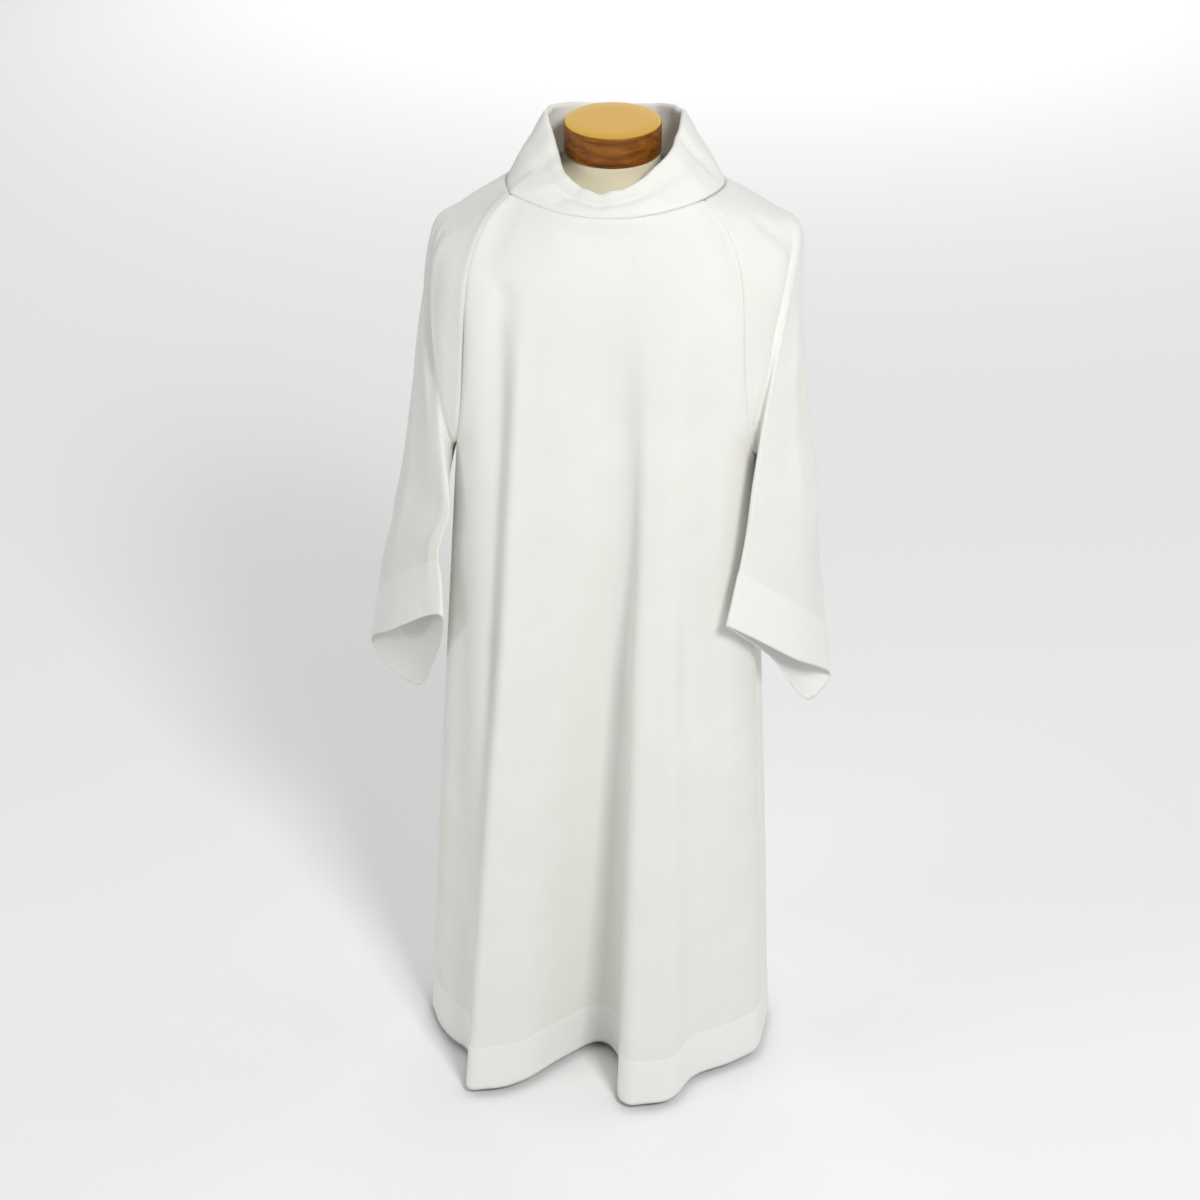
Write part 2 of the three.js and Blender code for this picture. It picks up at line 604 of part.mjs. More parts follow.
for (const { grid } of [front, back]) {
  grid[neckRow].forEach((p, c) => drawBack(p, grid[neckRow - 1][c]));
  grid.forEach((row) => {
    drawBack(row[0], row[1]);
    drawBack(row[row.length - 1], row[row.length - 2]);
  });
}
for (const { grid } of [leftSleeve, rightSleeve]) {
  grid[sleeveNeckRow].forEach((p, c) => drawBack(p, grid[sleeveNeckRow - 1][c]));
  grid.slice(SLEEVE_ROWS_BELOW).forEach((row) => {
    drawBack(row[0], row[1]);
    drawBack(row[sleeveLast], row[sleeveLast - 1]);
  });
}
collar.grid[0].forEach((p, c) => drawBack(p, collar.grid[1][c]));

const skirtWall = (p) => (p.z < HEM_TOP_Z - 1 ? HEM_CLOTH : CLOTH);
place("alb_front", wall(front, skirtWall), albCloth);
place("alb_back", wall(back, skirtWall), albCloth);
place("alb_sleeve_left", wall(leftSleeve, () => CLOTH), albCloth);
place("alb_sleeve_right", wall(rightSleeve, () => CLOTH), albCloth);
place("alb_collar", wall(collar, () => COLLAR_CLOTH), albCloth);

export default object;
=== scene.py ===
# A long-sleeved alb hanging on a limbless dress form. The script follows the object from the floor up: the
# room, the stand, the form and its wooden cap, then the alb's front, back, sleeves and collar.
# Tables of the cloth's shape are in millimetres, in the frame of the model. Meshes are in metres.
import math

import bmesh
import bpy
import numpy as np
from mathutils import Matrix, Vector


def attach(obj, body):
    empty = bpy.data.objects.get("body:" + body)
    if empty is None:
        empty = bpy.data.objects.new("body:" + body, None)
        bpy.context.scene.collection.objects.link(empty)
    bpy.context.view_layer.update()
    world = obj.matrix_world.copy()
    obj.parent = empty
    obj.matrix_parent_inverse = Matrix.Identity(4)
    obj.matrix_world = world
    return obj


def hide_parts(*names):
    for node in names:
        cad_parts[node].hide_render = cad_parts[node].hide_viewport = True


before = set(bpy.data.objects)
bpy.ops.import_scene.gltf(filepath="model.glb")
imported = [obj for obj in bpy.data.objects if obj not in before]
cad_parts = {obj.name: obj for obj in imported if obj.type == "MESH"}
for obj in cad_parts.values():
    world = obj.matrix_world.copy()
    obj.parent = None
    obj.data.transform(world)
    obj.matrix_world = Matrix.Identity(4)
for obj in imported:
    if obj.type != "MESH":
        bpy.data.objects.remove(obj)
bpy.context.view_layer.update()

# ---- the room ------------------------------------------------------------------------------------------
# A plain pale floor without an edge, one soft lamp high in front, a weaker one at each side, three that
# light the floor, and a camera above chest height that looks down at the alb.

FLOOR_HALF = 30.0
FLOOR_COLOUR = (0.94, 0.94, 0.94, 1.0)
SKY_COLOUR = (1.0, 1.0, 1.0, 1.0)
SKY_STRENGTH = 0.29
LAMPS = [
    {"name": "front_lamp", "at": (1.2, -2.5, 3), "aim": (0, 0, 0.85), "size": 0.7, "watts": 71},
    {"name": "right_lamp", "at": (3, -1.4, 2.2), "aim": (0, 0, 0.85), "size": 1.2, "watts": 5},
    {"name": "left_lamp", "at": (-3.2, -1.6, 2), "aim": (0, 0, 0.85), "size": 1.2, "watts": 20},
    {"name": "floor_lamp_left", "at": (-3.8, 1.4, 3.6), "aim": (-3.4, 1.8, 0), "size": 3.5, "watts": 42},
    {"name": "floor_lamp_right", "at": (3.8, 1.4, 3.6), "aim": (3.4, 1.8, 0), "size": 3.5, "watts": 42},
    {"name": "back_lamp", "at": (0, 8, 3.4), "aim": (0, 6.5, 0), "size": 6, "watts": 220},
]
CAMERA_AT = (0.17659, -2.65435, 2.1244)
CAMERA_TURN = math.radians(4.0)  # round the form from straight in front
CAMERA_DIP = math.radians(27.5)
CAMERA_ROLL = math.radians(0.5)
CAMERA_LENS = 64.95


def put(name, data):
    made = bpy.data.objects.new(name, data)
    bpy.context.scene.collection.objects.link(made)
    return made


def new_material(name):
    """A material with its shader and a way to add and join nodes."""
    material = bpy.data.materials.new(name)
    material.use_nodes = True
    tree = material.node_tree
    shader = tree.nodes["Principled BSDF"]

    def node(kind, values=(), **settings):
        made = tree.nodes.new(kind)
        for key, value in settings.items():
            setattr(made, key, value)
        for key, value in dict(values).items():
            made.inputs[key].default_value = value
        return made

    def join(source, target, out=0):
        tree.links.new(source.outputs[out], target)

    return material, shader, node, join


def two_tones(node, dark, light, low=0.0, high=1.0):
    """A ramp between two colours."""
    ramp = node("ShaderNodeValToRGB")
    for element, place, colour in zip(ramp.color_ramp.elements, (low, high), (dark, light)):
        element.position = place
        element.color = colour
    return ramp


def add_bump(node, join, shader, height, out, strength, distance):
    bump = node("ShaderNodeBump", {"Strength": strength, "Distance": distance})
    join(height, bump.inputs["Height"], out)
    join(bump, shader.inputs["Normal"], "Normal")
    return bump


def build_floor():
    shape = bmesh.new()
    bmesh.ops.create_grid(shape, x_segments=1, y_segments=1, size=FLOOR_HALF)
    mesh = bpy.data.meshes.new("floor")
    shape.to_mesh(mesh)
    shape.free()
    floor = put("floor", mesh)
    material, shader, _, _ = new_material("pale_floor")
    shader.inputs["Base Color"].default_value = FLOOR_COLOUR
    shader.inputs["Roughness"].default_value = 0.9
    mesh.materials.append(material)


def build_lamps():
    bpy.context.scene.view_settings.view_transform = "Standard"
    world = bpy.data.worlds.new("room")
    bpy.context.scene.world = world
    world.use_nodes = True
    sky = world.node_tree.nodes["Background"]
    sky.inputs["Color"].default_value = SKY_COLOUR
    sky.inputs["Strength"].default_value = SKY_STRENGTH
    for row in LAMPS:
        data = bpy.data.lights.new(row["name"], "AREA")
        data.size = row["size"]
        data.energy = row["watts"]
        lamp = put(row["name"], data)
        lamp.location = row["at"]
        lamp.rotation_euler = (Vector(row["aim"]) - lamp.location).to_track_quat("-Z", "Y").to_euler()


def build_camera():
    forward = Vector((-math.sin(CAMERA_TURN) * math.cos(CAMERA_DIP),
                      math.cos(CAMERA_TURN) * math.cos(CAMERA_DIP), -math.sin(CAMERA_DIP)))
    level = Vector((math.cos(CAMERA_TURN), math.sin(CAMERA_TURN), 0.0))
    upright = level.cross(forward)
    right = level * math.cos(CAMERA_ROLL) + upright * math.sin(CAMERA_ROLL)
    up = upright * math.cos(CAMERA_ROLL) - level * math.sin(CAMERA_ROLL)
    data = bpy.data.cameras.new("camera")
    data.lens = CAMERA_LENS
    data.sensor_width = 36.0
    camera = put("camera", data)
    turn = Matrix((right, up, -forward)).transposed().to_4x4()
    camera.matrix_world = Matrix.Translation(CAMERA_AT) @ turn
    bpy.context.scene.camera = camera


build_floor()
build_lamps()
build_camera()

# ---- stand: foot and pole ------------------------------------------------------------------------------
# The foot is a low steel cross with a black powder coat, and the pole a satin steel tube screwed into it.
# Both are hidden by the skirt from most sides.


def black_coat():
    material, shader, node, join = new_material("black_powder_coat")
    shader.inputs["Roughness"].default_value = 0.5
    place = node("ShaderNodeTexCoord")
    grain = node("ShaderNodeTexNoise", {"Scale": 900.0, "Detail": 2.0})
    tint = node("ShaderNodeTexNoise", {"Scale": 12.0, "Detail": 3.0})
    ramp = two_tones(node, (0.012, 0.012, 0.013, 1), (0.03, 0.03, 0.032, 1))
    join(place, grain.inputs["Vector"], "Object")
    join(place, tint.inputs["Vector"], "Object")
    join(tint, ramp.inputs["Fac"], "Fac")
    join(ramp, shader.inputs["Base Color"], "Color")
    add_bump(node, join, shader, grain, "Fac", 0.25, 0.0003)
    return material


def satin_steel():
    material, shader, node, join = new_material("satin_steel")
    shader.inputs["Base Color"].default_value = (0.56, 0.57, 0.58, 1)
    shader.inputs["Metallic"].default_value = 1.0
    place = node("ShaderNodeTexCoord")
    rings = node("ShaderNodeMapping", {"Scale": (40.0, 40.0, 3000.0)})
    lines = node("ShaderNodeTexNoise", {"Scale": 1.0, "Detail": 3.0})
    sheen = node("ShaderNodeMapRange", {"To Min": 0.24, "To Max": 0.42})
    join(place, rings.inputs["Vector"], "Object")
    join(rings, lines.inputs["Vector"], "Vector")
    join(lines, sheen.inputs["Value"], "Fac")
    join(sheen, shader.inputs["Roughness"], "Result")
    add_bump(node, join, shader, lines, "Fac", 0.12, 0.0002)
    return material


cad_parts["stand_foot"].material_slots[0].material = black_coat()
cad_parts["stand_pole"].material_slots[0].material = satin_steel()

# ---- dress form ----------------------------------------------------------------------------------------
# A padded torso without limbs, covered in cream cotton jersey that is pulled smooth. Only its neck shows,
# inside the collar. The shape is a loft through oval rings from the hips to the neck.

MM = 0.001
NECK_TILT = 0.126  # how far the neck's top falls for each millimetre towards the front
TILT_FROM_Z = 1340
NECK_TOP_Z = 1374
FORM_RINGS = [
    {"z": 640, "half": 158, "front": 88, "back": 96, "centre": 0},
    {"z": 652, "half": 166, "front": 96, "back": 104, "centre": 0},
    {"z": 740, "half": 172, "front": 102, "back": 118, "centre": 0},
    {"z": 820, "half": 160, "front": 99, "back": 106, "centre": 2},
    {"z": 900, "half": 148, "front": 95, "back": 92, "centre": 4},
    {"z": 980, "half": 150, "front": 100, "back": 96, "centre": 6},
    {"z": 1060, "half": 162, "front": 111, "back": 105, "centre": 8},
    {"z": 1140, "half": 180, "front": 122, "back": 112, "centre": 9},
    {"z": 1200, "half": 202, "front": 122, "back": 114, "centre": 9},
    {"z": 1240, "half": 223, "front": 113, "back": 109, "centre": 9},
    {"z": 1264, "half": 231, "front": 105, "back": 104, "centre": 9.5},
    {"z": 1280, "half": 226, "front": 97, "back": 98, "centre": 12},
    {"z": 1296, "half": 206.5, "front": 88, "back": 91, "centre": 12.5},
    {"z": 1312, "half": 180.4, "front": 79, "back": 83, "centre": 12.4},
    {"z": 1324, "half": 158, "front": 72, "back": 76, "centre": 10.4},
    {"z": 1335, "half": 126, "front": 66, "back": 72, "centre": 7},
    {"z": 1346, "half": 82, "front": 61, "back": 64, "centre": 4},
    {"z": 1358, "half": 64, "front": 59, "back": 60, "centre": 2},
    {"z": NECK_TOP_Z, "half": 58, "front": 58, "back": 58, "centre": 2},
]
FORM_ROWS_PER_RING = 4
FORM_AROUND = 96


def column(rows, by, name, at):
    """A smooth curve through one column of a table whose rows rise in the column named by `by`."""
    x = np.array([row[by] for row in rows], float)
    y = np.array([row[name] for row in rows], float)
    index = np.arange(len(x))
    low, high = np.maximum(index - 1, 0), np.minimum(index + 1, len(x) - 1)
    slope = (y[high] - y[low]) / (x[high] - x[low])
    at = np.clip(np.asarray(at, float), x[0], x[-1])
    i = np.clip(np.searchsorted(x, at, side="left") - 1, 0, len(x) - 2)
    span = x[i + 1] - x[i]
    t = (at - x[i]) / span
    rise, start, end = y[i + 1] - y[i], slope[i] * span, slope[i + 1] * span
    return y[i] + t * start + t**2 * (3 * rise - 2 * start - end) + t**3 * (start + end - 2 * rise)


def smooth_step(low, high, at):
    """0 up to `low`, 1 from `high`, and a soft rise between them."""
    t = np.clip((at - low) / (high - low), 0.0, 1.0)
    return t * t * (3 - 2 * t)


def grid_shape(points):
    """A bmesh grid whose vertices lie at `points`, an array of rows of places in millimetres."""
    rows, columns = points.shape[:2]
    shape = bmesh.new()
    bmesh.ops.create_grid(shape, x_segments=columns - 1, y_segments=rows - 1, size=0.5)
    shape.verts.ensure_lookup_table()
    for vertex, place in zip(shape.verts, points.reshape(-1, 3) * MM):
        vertex.co = place
    return shape


def finish_piece(shape, name, material, node):
    """Makes a piece of a bmesh and puts it in place of its CAD node."""
    mesh = bpy.data.meshes.new(name)
    shape.to_mesh(mesh)
    shape.free()
    mesh.shade_smooth()
    mesh.materials.append(material)
    piece = put(name, mesh)
    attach(piece, "root")
    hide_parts(node)
    return piece


def jersey():
    material, shader, node, join = new_material("cream_jersey")
    shader.inputs["Roughness"].default_value = 0.9
    shader.inputs["Sheen Weight"].default_value = 0.12
    place = node("ShaderNodeTexCoord")
    rows = node("ShaderNodeTexWave", {"Scale": 260.0, "Distortion": 0.6, "Detail": 1.0},
                wave_type="BANDS", bands_direction="Z")
    tint = node("ShaderNodeTexNoise", {"Scale": 16.0, "Detail": 4.0})
    ramp = two_tones(node, (0.70, 0.62, 0.43, 1), (0.80, 0.73, 0.55, 1))
    join(place, rows.inputs["Vector"], "Object")
    join(place, tint.inputs["Vector"], "Object")
    join(tint, ramp.inputs["Fac"], "Fac")
    join(ramp, shader.inputs["Base Color"], "Color")
    add_bump(node, join, shader, rows, "Color", 0.3, 0.0004)
    return material


def build_torso():
    heights = np.array([row["z"] for row in FORM_RINGS], float)
    steps = np.linspace(0, len(heights) - 1, (len(heights) - 1) * FORM_ROWS_PER_RING + 1)
    z = np.interp(steps, np.arange(len(heights)), heights)[:, None]
    turn = np.linspace(0, 2 * math.pi, FORM_AROUND + 1)[None, :]
    size = {name: column(FORM_RINGS, "z", name, z) for name in ("half", "front", "back", "centre")}
    depth = np.where(np.sin(turn) < 0, size["front"], size["back"])
    x = size["centre"] + np.cos(turn) * size["half"]
    y = np.sin(turn) * depth
    lean = NECK_TILT * smooth_step(TILT_FROM_Z, NECK_TOP_Z, z)
    shape = grid_shape(np.stack([x, y, z + lean * y], axis=2))
    bmesh.ops.remove_doubles(shape, verts=shape.verts, dist=1e-5)
    rims = [edge for edge in shape.edges if edge.is_boundary]
    bmesh.ops.holes_fill(shape, edges=rims, sides=0)
    bmesh.ops.recalc_face_normals(shape, faces=shape.faces)
    finish_piece(shape, "torso", jersey(), "form_torso")


build_torso()

# ---- neck cap ------------------------------------------------------------------------------------------
# A turned disc of golden brown wood, glued to the top of the neck and varnished. It leans forward with the
# neck. Its edges are rounded, and the grain runs across the top and along the side. The top that faces up is
# painted lighter and more golden than the side: painted light from above.

WOOD_DARK = (0.085, 0.024, 0.003, 1)
WOOD_LIGHT = (0.36, 0.125, 0.012, 1)
WOOD_TOP_PAINTED_LIGHT = (0.80, 0.47, 0.03, 1)  # painted light: the end that faces up, lighter and more golden than the side as if lit from above
CAP_RADIUS = 0.061
CAP_HEIGHT = 0.039
CAP_EDGE = 0.0025
CAP_CENTRE = (0.002, 0.0, NECK_TOP_Z * MM)
CAP_GAP = 0.0003  # between the neck and the cap
CAP_TOP_RINGS = (0.02, 0.02)  # insets that keep the flat ends shading evenly


def varnished_wood():
    material, shader, node, join = new_material("varnished_wood")
    shader.inputs["Roughness"].default_value = 0.42
    shader.inputs["Specular IOR Level"].default_value = 0.25
    shader.inputs["Coat Weight"].default_value = 0.08
    shader.inputs["Coat Roughness"].default_value = 0.2
    place = node("ShaderNodeTexCoord")
    stretch = node("ShaderNodeMapping", {"Scale": (9.0, 60.0, 150.0), "Rotation": (0.0, 0.06, 0.12)})
    grain = node("ShaderNodeTexNoise", {"Scale": 1.0, "Detail": 7.0, "Roughness": 0.62, "Distortion": 0.7})
    ramp = two_tones(node, WOOD_DARK, WOOD_LIGHT, 0.3, 0.72)
    # painted light: faces that point up are mixed towards the lighter golden top colour, standing in for
    # light from above
    facing = node("ShaderNodeNewGeometry")
    split = node("ShaderNodeSeparateXYZ")
    top = node("ShaderNodeMapRange", {"From Min": 0.6, "From Max": 0.95})
    golden = node("ShaderNodeMix", data_type="RGBA")
    blend = node("ShaderNodeMath", {1: 0.8}, operation="MULTIPLY")
    join(place, stretch.inputs["Vector"], "Object")
    join(stretch, grain.inputs["Vector"], "Vector")
    join(grain, ramp.inputs["Fac"], "Fac")
    join(facing, split.inputs["Vector"], "Normal")
    join(split, top.inputs["Value"], "Z")
    join(top, blend.inputs[0], "Result")
    join(blend, golden.inputs["Factor"], "Value")
    join(ramp, golden.inputs[6], "Color")
    golden.inputs[7].default_value = WOOD_TOP_PAINTED_LIGHT
    join(golden, shader.inputs["Base Color"], 2)
    add_bump(node, join, shader, grain, "Fac", 0.08, 0.0004)
    return material


def build_cap():
    shape = bmesh.new()
    bmesh.ops.create_cone(shape, cap_ends=True, segments=96, radius1=CAP_RADIUS, radius2=CAP_RADIUS,
                          depth=CAP_HEIGHT)
    rims = [edge for edge in shape.edges if abs(edge.verts[0].co.z - edge.verts[1].co.z) < 1e-6]
    bmesh.ops.bevel(shape, geom=rims, offset=CAP_EDGE, segments=4, profile=0.5, affect="EDGES", material=-1)
    ends = [face for face in shape.faces if len(face.verts) > 8]
    for inset in CAP_TOP_RINGS:
        bmesh.ops.inset_region(shape, faces=ends, thickness=inset)
    tilt = Matrix.Rotation(math.atan(NECK_TILT), 4, "X")
    seat = Matrix.Translation(CAP_CENTRE) @ tilt @ Matrix.Translation((0, 0, CAP_HEIGHT / 2 + CAP_GAP))
    bmesh.ops.transform(shape, matrix=seat, verts=shape.verts)
    finish_piece(shape, "neck_cap", varnished_wood(), "form_neck_cap")


build_cap()

# ---- alb: front ----------------------------------------------------------------------------------------
# One panel of ivory white plain-woven cloth, cut with raglan armholes and a hem turned up by three inches.
# It hangs from the raglan and collar seams in two long folds, one each side of a flatter middle.

SHELL = 0.9  # one layer of cloth, as it is shown
CLOSING_DISTANCE = 2e-4  # metres within which the two edges of a closed tube are joined
HEM_Z = 12
HEM_DEPTH = 76
KNEE_Z = 420
UNDERARM_Z = 985
ARMHOLE_Z = 1045
CHEST_Z = 1215
STATIONS = {"hem": HEM_Z, "knee": KNEE_Z, "underarm": UNDERARM_Z, "armhole": ARMHOLE_Z, "chest": CHEST_Z}
LEFT_SIDE_SEAM = [
    {"z": HEM_Z, "x": 248, "y": 0},
    {"z": 300, "x": 232, "y": 0},
    {"z": 600, "x": 213, "y": 0},
    {"z": UNDERARM_Z, "x": 200, "y": -5},
]
RIGHT_SIDE_SEAM = [
    {"z": HEM_Z, "x": -266, "y": 20},
    {"z": 300, "x": -249, "y": 14},
    {"z": 600, "x": -227, "y": 6},
    {"z": UNDERARM_Z, "x": -200, "y": -5},
]
# The raglan seam on the wearer's left, from the underarm to the neckline.
FRONT_RAGLAN = [
    {"at": 0, "z": UNDERARM_Z, "x": 200, "y": -5},
    {"at": 1, "z": 989, "x": 198, "y": -46},
    {"at": 2, "z": 1003, "x": 194, "y": -76},
    {"at": 3, "z": 1030, "x": 189, "y": -95},
    {"at": 4, "z": 1068, "x": 184, "y": -103},
    {"at": 5, "z": 1116, "x": 180, "y": -107},
    {"at": 6, "z": 1166, "x": 177, "y": -110},
    {"at": 7, "z": CHEST_Z, "x": 174, "y": -112},
    {"at": 8, "z": 1252, "x": 169, "y": -106},
    {"at": 9, "z": 1282, "x": 160, "y": -97},
    {"at": 10, "z": 1305, "x": 149, "y": -87},
    {"at": 11, "z": 1323, "x": 136, "y": -78},
    {"at": 12, "z": 1336, "x": 121, "y": -70},
]
# The lines that the cloth falls in, from the wearer's right side to the left. Each gives its x and y at the
# chest, the armhole, the underarm, the knee and the hem.
FRONT_LINES = [
    {"chest": (-160, -119), "armhole": (-176, -108), "underarm": (-190, -82),
     "knee": (-230, -50), "hem": (-245, -34)},
    {"chest": (-134, -127), "armhole": (-149, -121), "underarm": (-162, -113),
     "knee": (-192, -105), "hem": (-207, -94)},
    {"chest": (-106, -131), "armhole": (-114, -137), "underarm": (-120, -141),
     "knee": (-163, -161), "hem": (-186, -171)},
    {"chest": (-80, -133), "armhole": (-86, -139), "underarm": (-91, -144),
     "knee": (-129, -164), "hem": (-146, -173)},
    {"chest": (-52, -134), "armhole": (-57, -138), "underarm": (-62, -141),
     "knee": (-94, -153), "hem": (-106, -152)},
    {"chest": (-20, -134), "armhole": (-23, -135), "underarm": (-25, -136),
     "knee": (-44, -118), "hem": (-52, -95)},
    {"chest": (15, -133), "armhole": (14, -131), "underarm": (13, -129),
     "knee": (3, -91), "hem": (-4, -58)},
    {"chest": (45, -132), "armhole": (44, -130), "underarm": (43, -129),
     "knee": (38, -106), "hem": (33, -92)},
    {"chest": (66, -132), "armhole": (63, -136), "underarm": (60, -140),
     "knee": (50, -166), "hem": (41, -181)},
    {"chest": (88, -131), "armhole": (92, -137), "underarm": (95, -143),
     "knee": (103, -170), "hem": (103, -182)},
    {"chest": (112, -128), "armhole": (122, -129), "underarm": (130, -130),
     "knee": (144, -137), "hem": (149, -134)},
    {"chest": (136, -124), "armhole": (151, -117), "underarm": (163, -110),
     "knee": (180, -101), "hem": (193, -88)},
    {"chest": (158, -117), "armhole": (175, -106), "underarm": (189, -80),
     "knee": (215, -54), "hem": (236, -53)},
]
FRONT_NECK = {"y": -115, "z": 1321}
# Soft creases over those lines: where each starts and ends, seen from in front, how wide it is, how deep
# (a ridge is above 0), and how far its middle bows towards -x, where it does.
FRONT_CREASES = [
    {"x0": -122, "z0": 1300, "x1": -161, "z1": 560, "width": 16, "depth": -12.5},
    {"x0": -134, "z0": 930, "x1": -233, "z1": -380, "width": 13, "depth": -11.9},
    {"x0": -98, "z0": 1250, "x1": -136, "z1": 560, "width": 12, "depth": 4.9},
    {"x0": -112, "z0": 930, "x1": -210, "z1": -380, "width": 13, "depth": 4.9},
    {"x0": 14, "z0": 1236, "x1": 8, "z1": 540, "width": 33, "depth": -6, "bow": -4},
    {"x0": 14, "z0": 860, "x1": 6, "z1": -380, "width": 19, "depth": -6.5},
    {"x0": 50, "z0": 1246, "x1": 53, "z1": 540, "width": 15, "depth": 5.6},
    {"x0": 50, "z0": 900, "x1": 58, "z1": -380, "width": 14, "depth": 6.3},
    {"x0": 108, "z0": 1220, "x1": 134, "z1": 520, "width": 22, "depth": -7, "bow": 3},
    {"x0": 124, "z0": 1040, "x1": 166, "z1": -380, "width": 24, "depth": -11.2},
    {"x0": 164, "z0": 980, "x1": 204, "z1": -300, "width": 16, "depth": 3, "bow": -4},
    {"x0": -64, "z0": 1296, "x1": 82, "z1": 1298, "width": 15, "depth": -3.5},
    {"x0": 6, "z0": 1271, "x1": 44, "z1": 1274, "width": 7, "depth": -2.1, "bow": 2},
    {"x0": -44, "z0": 1120, "x1": -66, "z1": 260, "width": 22, "depth": 3.1, "bow": 5},
    {"x0": -12, "z0": 900, "x1": -34, "z1": 100, "width": 16, "depth": -2.9, "bow": 6},
    {"x0": -76, "z0": 800, "x1": -116, "z1": 110, "width": 13, "depth": -2.3, "bow": 3},
    {"x0": -176, "z0": 960, "x1": -226, "z1": -60, "width": 15, "depth": -3, "bow": 5},
    {"x0": 90, "z0": 660, "x1": 104, "z1": 60, "width": 12, "depth": -2.1, "bow": 3},
    {"x0": -150, "z0": 1262, "x1": -96, "z1": 1196, "width": 11, "depth": -2.3, "bow": 4},
    {"x0": 152, "z0": 1250, "x1": 112, "z1": 1180, "width": 12, "depth": -2.3, "bow": -4},
]
CREASE_FADE = 0.28  # the share of a crease that fades out at each end
CREASE_CLEAR = 22  # creases fade out this near a seam
SKIRT_ROW = 5.6  # between two rows of the mesh
RAGLAN_TOP = 12  # the last row of the raglan tables
RAGLAN_ROWS = 5  # for each row of them
COLUMNS_BETWEEN_LINES = 11
# Close columns beside a seam, as shares of the first stretch, and where the even ones begin.
SEAM_COLUMNS = (0.0, 0.03, 0.07, 0.12, 0.2, 0.3)
SEAM_STRETCH = 0.35
HEM_BAND_ROWS = 14
HEM_TURN_ROWS = (-3, -1.5, 0, 1.5, 4)  # close rows at the top of the turned-up hem
HEM_STEP = {"height": 0.9, "below": 2.5, "above": 1.5}  # the double cloth stands proud, and where that ends
CLOTH_SHADE = (0.812, 0.806, 0.758, 1)
CLOTH_LIGHT = (0.835, 0.835, 0.80, 1)
CLOTH_DOUBLED = (0.862, 0.862, 0.832, 1)
THREADS = {"Scale": 230.0, "Distortion": 0.35, "Detail": 1.0}
GROOVE = {"width": 2.2, "depth": -1.7}  # where two pieces are sewn together
COLLAR_SEAM_SHARE = 0.5  # the collar's seam is shallower
ALLOWANCE = {"at": 7.5, "width": 4.0, "height": 0.5}  # the seam allowance that shows through beside it


def drape(points, across, closed=False):
    """Points on the smooth curve through each row of `points`, at the places `across`, counted in points."""
    count = points.shape[1]
    if closed:
        line = np.concatenate([points[:, -1:], points, points[:, :2]], axis=1)
    else:
        first, last = 2 * points[:, :1] - points[:, 1:2], 2 * points[:, -1:] - points[:, -2:-1]
        line = np.concatenate([first, points, last], axis=1)
    i = np.clip(np.floor(across).astype(int), 0, count - 1 if closed else count - 2)
    t = (across - i)[None, :, None]
    p0, p1, p2, p3 = (line[:, i + k] for k in range(4))

    def gap(a, b):
        return np.maximum(np.linalg.norm(b - a, axis=2, keepdims=True) ** 0.5, 1e-3)

    d0, d1, d2 = gap(p0, p1), gap(p1, p2), gap(p2, p3)
    start = ((p1 - p0) / d0 - (p2 - p0) / (d0 + d1) + (p2 - p1) / d1) * d1
    end = ((p2 - p1) / d1 - (p3 - p1) / (d1 + d2) + (p3 - p2) / d2) * d1
    rise = p2 - p1
    return p1 + t * start + t**2 * (3 * rise - 2 * start - end) + t**3 * (start + end - 2 * rise)


def across_places(count, steps):
    """Even places from 0 to `count`, with close ones beside both ends, where the seams are."""
    inner = np.linspace(0, count, count * steps + 1)
    inner = inner[(inner > SEAM_STRETCH) & (inner < count - SEAM_STRETCH)]
    ends = np.array(SEAM_COLUMNS)
    return np.concatenate([ends, inner, count - ends[::-1]])


def along(points, axis):
    """How far each point lies from the first along its own row or column, in millimetres."""
    steps = np.linalg.norm(np.diff(points, axis=axis), axis=2)
    start = np.zeros_like(np.take(steps, [0], axis=axis))
    return np.concatenate([start, np.cumsum(steps, axis=axis)], axis=axis)


def outward(points, facing):
    """Unit normals of a grid of points."""
    rows = np.gradient(points, axis=0)
    columns = np.gradient(points, axis=1)
    normal = np.cross(columns, rows) * facing
    return normal / np.maximum(np.linalg.norm(normal, axis=2, keepdims=True), 1e-9)


def crease_depth(u, v, creases, names):
    """The height that soft creases add at the places (u, v). `names` are the table's four place columns."""
    total = np.zeros_like(u)
    for row in creases:
        u0, v0, u1, v1 = (row[name] for name in names)
        du, dv = u1 - u0, v1 - v0
        length = math.hypot(du, dv)
        s = np.clip(((u - u0) * du + (v - v0) * dv) / length**2, 0.0, 1.0)
        bow = row.get("bow", 0) * 4 * s * (1 - s) / length
        off = np.hypot(u - (u0 + s * du + bow * dv), v - (v0 + s * dv - bow * du))
        fade = smooth_step(0, CREASE_FADE, s) * smooth_step(0, CREASE_FADE, 1 - s)
        total += row["depth"] * np.exp(-((off / row["width"]) ** 2)) * fade
    return total


def seam_relief(distance):
    """The groove of a seam and the soft ridge of its allowance, at a distance from it."""
    groove = GROOVE["depth"] * np.exp(-((distance / GROOVE["width"]) ** 2))
    ridge = ALLOWANCE["height"] * np.exp(-(((distance - ALLOWANCE["at"]) / ALLOWANCE["width"]) ** 2))
    return groove + ridge


def hem_relief(distance):
    """The turned-up hem stands a little proud of the single cloth above it."""
    low, high = HEM_DEPTH - HEM_STEP["below"], HEM_DEPTH + HEM_STEP["above"]
    return HEM_STEP["height"] * (1 - smooth_step(low, high, distance))


def upright_line(rows, heights):
    """Points at `heights` on the curve through a table of x and y by z."""
    return np.stack([column(rows, "z", "x", heights), column(rows, "z", "y", heights), heights], axis=-1)


def raglan_point(raglan, at, side):
    """Points on a raglan seam, `at` rows up its table, on the wearer's left (1) or right (-1)."""
    return upright_line(raglan, column(raglan, "at", "z", at)) * (side, 1, 1)


